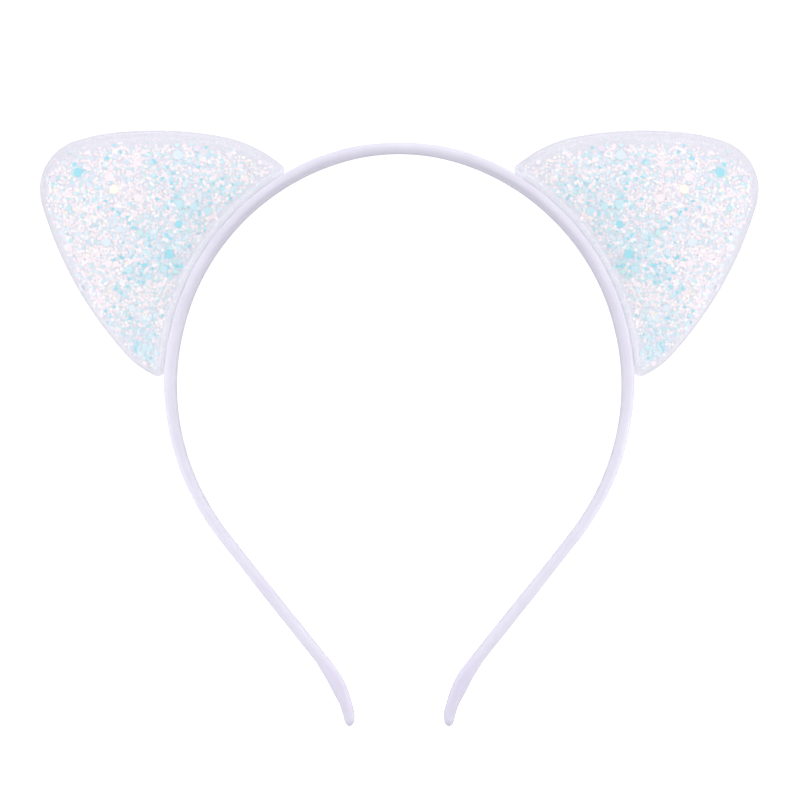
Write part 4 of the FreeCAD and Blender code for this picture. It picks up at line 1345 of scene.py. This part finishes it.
# ------------------------------------------------------------------ glue bead
for side in ("left", "right"):
    mirror = side == "right"
    seed = 0.4 if side == "left" else 1.9
    angles = np.linspace(30.7, 87.3, 164)
    rows = []
    for i, a in enumerate(angles):
        t = i / (len(angles) - 1)
        fade = math.sqrt(max(0.0, 1 - (2 * t - 1) ** 16))
        lump = 1 + 0.25 * math.sin(t * 61 + seed) + 0.18 * math.sin(t * 143 + 2 * seed)
        # towards both corners the bead narrows with the ear and fills the notch
        corner = float(smoothstep(34.5, 31.2, a) + smoothstep(84.0, 86.8, a))
        half = (1.45 + 0.25 * math.sin(t * 37 + seed)) * max(fade, 0.15) * (1 - 0.55 * corner)
        ring = []
        for k_ in range(20):
            q = 2 * math.pi * k_ / 20
            y = half * math.cos(q) * (1 + 0.04 * lump)
            # the bead is squeezed flat between satin and rim and swells outside it
            swell = (0.085 + 0.08 * lump * abs(math.cos(q)) ** 6) * (1 + 1.2 * corner * fade)
            r = 65.6 + 1.85 + 0.06 * corner + swell * math.sin(q)
            u = (-math.sin(math.radians(a)), math.cos(math.radians(a)))
            ring.append((SIDE_C[0] + r * u[0], y, SIDE_C[1] + r * u[1]))
        rows.append(ring)
    v = np.array(rows).reshape(-1, 3)
    f = grid_faces(len(angles), 20, True)
    f += [list(range(20))[::-1], [(len(angles) - 1) * 20 + i for i in range(20)]]
    pieces[side]["glue"] = new_piece("glue_bead_" + side, v, f, mirror, True, None, GLUE)
    shade_by_angle(pieces[side]["glue"], 60)

# ------------------------------------------------------------------ riding
PIVOT = band(RUNS[1][0], -0.15)[0][0]
T = np.array([-math.cos(math.radians(17.45)), -math.sin(math.radians(17.45))])
for side in ("left", "right"):
    p = pieces[side]
    arm = side + "_arm"
    sx = 1.0 if side == "left" else -1.0
    # the span 13.4 mm before and 13.6 mm after the flex line, up to the root of the ear, and the point where it starts
    before, after = 13.4, 13.6
    start = (sx * (PIVOT[0] - T[0] * before) * MM, 0.0, (PIVOT[1] - T[1] * before) * MM)
    for key in ("cover", "core", "lining"):
        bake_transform(p[key])
    for key in ("fold", "front", "back", "foam", "big", "small", "fine", "glue"):
        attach(p[key], arm)
    crown = side == "left"
    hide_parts("satin_%s_arm" % side, *(["satin_crown"] if crown else []))
    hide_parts("core_%s_arm" % side, *(["core_crown"] if crown else []))
    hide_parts("lining_%s_arm" % side, *(["lining_crown"] if crown else []))
    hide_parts("end_fold_" + side)
    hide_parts("ear_front_" + side)
    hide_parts("ear_back_" + side)
    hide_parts("ear_foam_" + side)
    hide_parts("ear_glue_" + side)

# ------------------------------------------------------------------ studio
def area_light(name, place, target, size, watts, color=(1, 1, 1)):
    data = bpy.data.lights.new(name, "AREA")
    data.shape = "RECTANGLE"
    data.size, data.size_y = size
    data.energy = watts
    data.color = color
    ob = bpy.data.objects.new(name, data)
    ob.location = place
    ob.rotation_euler = (Vector(target) - Vector(place)).to_track_quat("-Z", "Y").to_euler()
    ob.visible_camera = False
    bpy.context.scene.collection.objects.link(ob)
    return ob


floor_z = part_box("end_fold_left")[0].z - 0.0006


def stage_material():
    """Back-lit white acrylic, as under a product shot."""
    mat, nt, p = principled(
        "stage_white",
        (0.86, 0.86, 0.86),
        0.9,
        Specular_IOR_Level=0.1,
        Emission_Color=(1, 1, 1, 1),
        Emission_Strength=0.62,
    )
    return mat


STAGE = stage_material()
profile = [(-3.2, 0.0), (1.6, 0.0)]
for i in range(1, 13):
    a = math.pi / 2 * i / 12
    profile.append((1.6 + 0.9 * math.sin(a), 0.9 * (1 - math.cos(a))))
profile.append((2.5, 3.2))
sv = []
for y, z in profile:
    sv += [(-4.0, y, floor_z + z), (4.0, y, floor_z + z)]
sf = [[2 * i, 2 * i + 1, 2 * i + 3, 2 * i + 2] for i in range(len(profile) - 1)]
sm = bpy.data.meshes.new("studio_floor")
sm.from_pydata(sv, [], sf)
sm.materials.append(STAGE)
sm.polygons.foreach_set("use_smooth", [True] * len(sm.polygons))
floor = bpy.data.objects.new("studio_floor", sm)
bpy.context.scene.collection.objects.link(floor)
floor.visible_diffuse = False
floor.visible_glossy = False

# a round cyclorama past the floor's ends, so the surround is white on every side
profile = [(2.2, 0.0)]
for i in range(1, 11):
    a = math.pi / 2 * i / 10
    profile.append((2.2 + 0.8 * math.sin(a), 0.8 * (1 - math.cos(a))))
profile.append((3.0, 3.4))
around = 96
sv, sf = [], []
for r, z in profile:
    for j in range(around):
        a = 2 * math.pi * j / around
        sv.append((r * math.cos(a), r * math.sin(a), floor_z - 0.0004 + z))
for i in range(len(profile) - 1):
    for j in range(around):
        k = (j + 1) % around
        sf.append([i * around + j, (i + 1) * around + j, (i + 1) * around + k, i * around + k])
sm = bpy.data.meshes.new("studio_wall")
sm.from_pydata(sv, [], sf)
sm.materials.append(STAGE)
sm.polygons.foreach_set("use_smooth", [True] * len(sm.polygons))
wall = bpy.data.objects.new("studio_wall", sm)
bpy.context.scene.collection.objects.link(wall)
wall.visible_diffuse = False
wall.visible_glossy = False
wall.visible_shadow = False

world = bpy.data.worlds.new("studio")
world.use_nodes = True
world.node_tree.nodes["Background"].inputs[0].default_value = (1, 1, 1, 1)
world.node_tree.nodes["Background"].inputs[1].default_value = 0.65
bpy.context.scene.world = world


def light_pair(name, place, target, size, watts):
    for tag, sx in (("left", 1), ("right", -1)):
        area_light(
            name + "_" + tag,
            (sx * place[0], place[1], place[2]),
            (sx * target[0], target[1], target[2]),
            size,
            watts,
        )


area_light("soft_top", (0.0, -0.55, 1.25), (0, 0, -0.06), (1.4, 1.0), 8.1)
light_pair("soft_side", (-1.2, -0.7, 0.1), (0, 0, -0.06), (0.9, 1.2), 4.1)
area_light("soft_front", (0.0, -1.9, 0.25), (0, 0, -0.07), (1.6, 1.2), 1.6)
area_light("soft_back", (0.0, 1.1, 0.55), (0, 0, -0.05), (1.2, 0.8), 4.5)
light_pair("card_low", (-0.26, -0.10, -0.13), (-0.06, 0, -0.09), (0.15, 0.2), 0.05)
light_pair("card_tip", (-0.17, -0.03, -0.15), (-0.04, 0, -0.11), (0.12, 0.12), 0.07)

cam_data = bpy.data.cameras.new("camera")
cam_data.sensor_width = 36.0
cam_data.lens = 36.0 * 1.2 / 0.22
cam_data.clip_end = 50
cam = bpy.data.objects.new("camera", cam_data)
cam.location = (0.00021, -1.2, -0.06779)
cam.rotation_euler = (math.radians(90), 0, 0)
bpy.context.scene.collection.objects.link(cam)
bpy.context.scene.camera = cam
bpy.context.scene.view_settings.view_transform = "Standard"
bpy.context.scene.view_settings.look = "None"
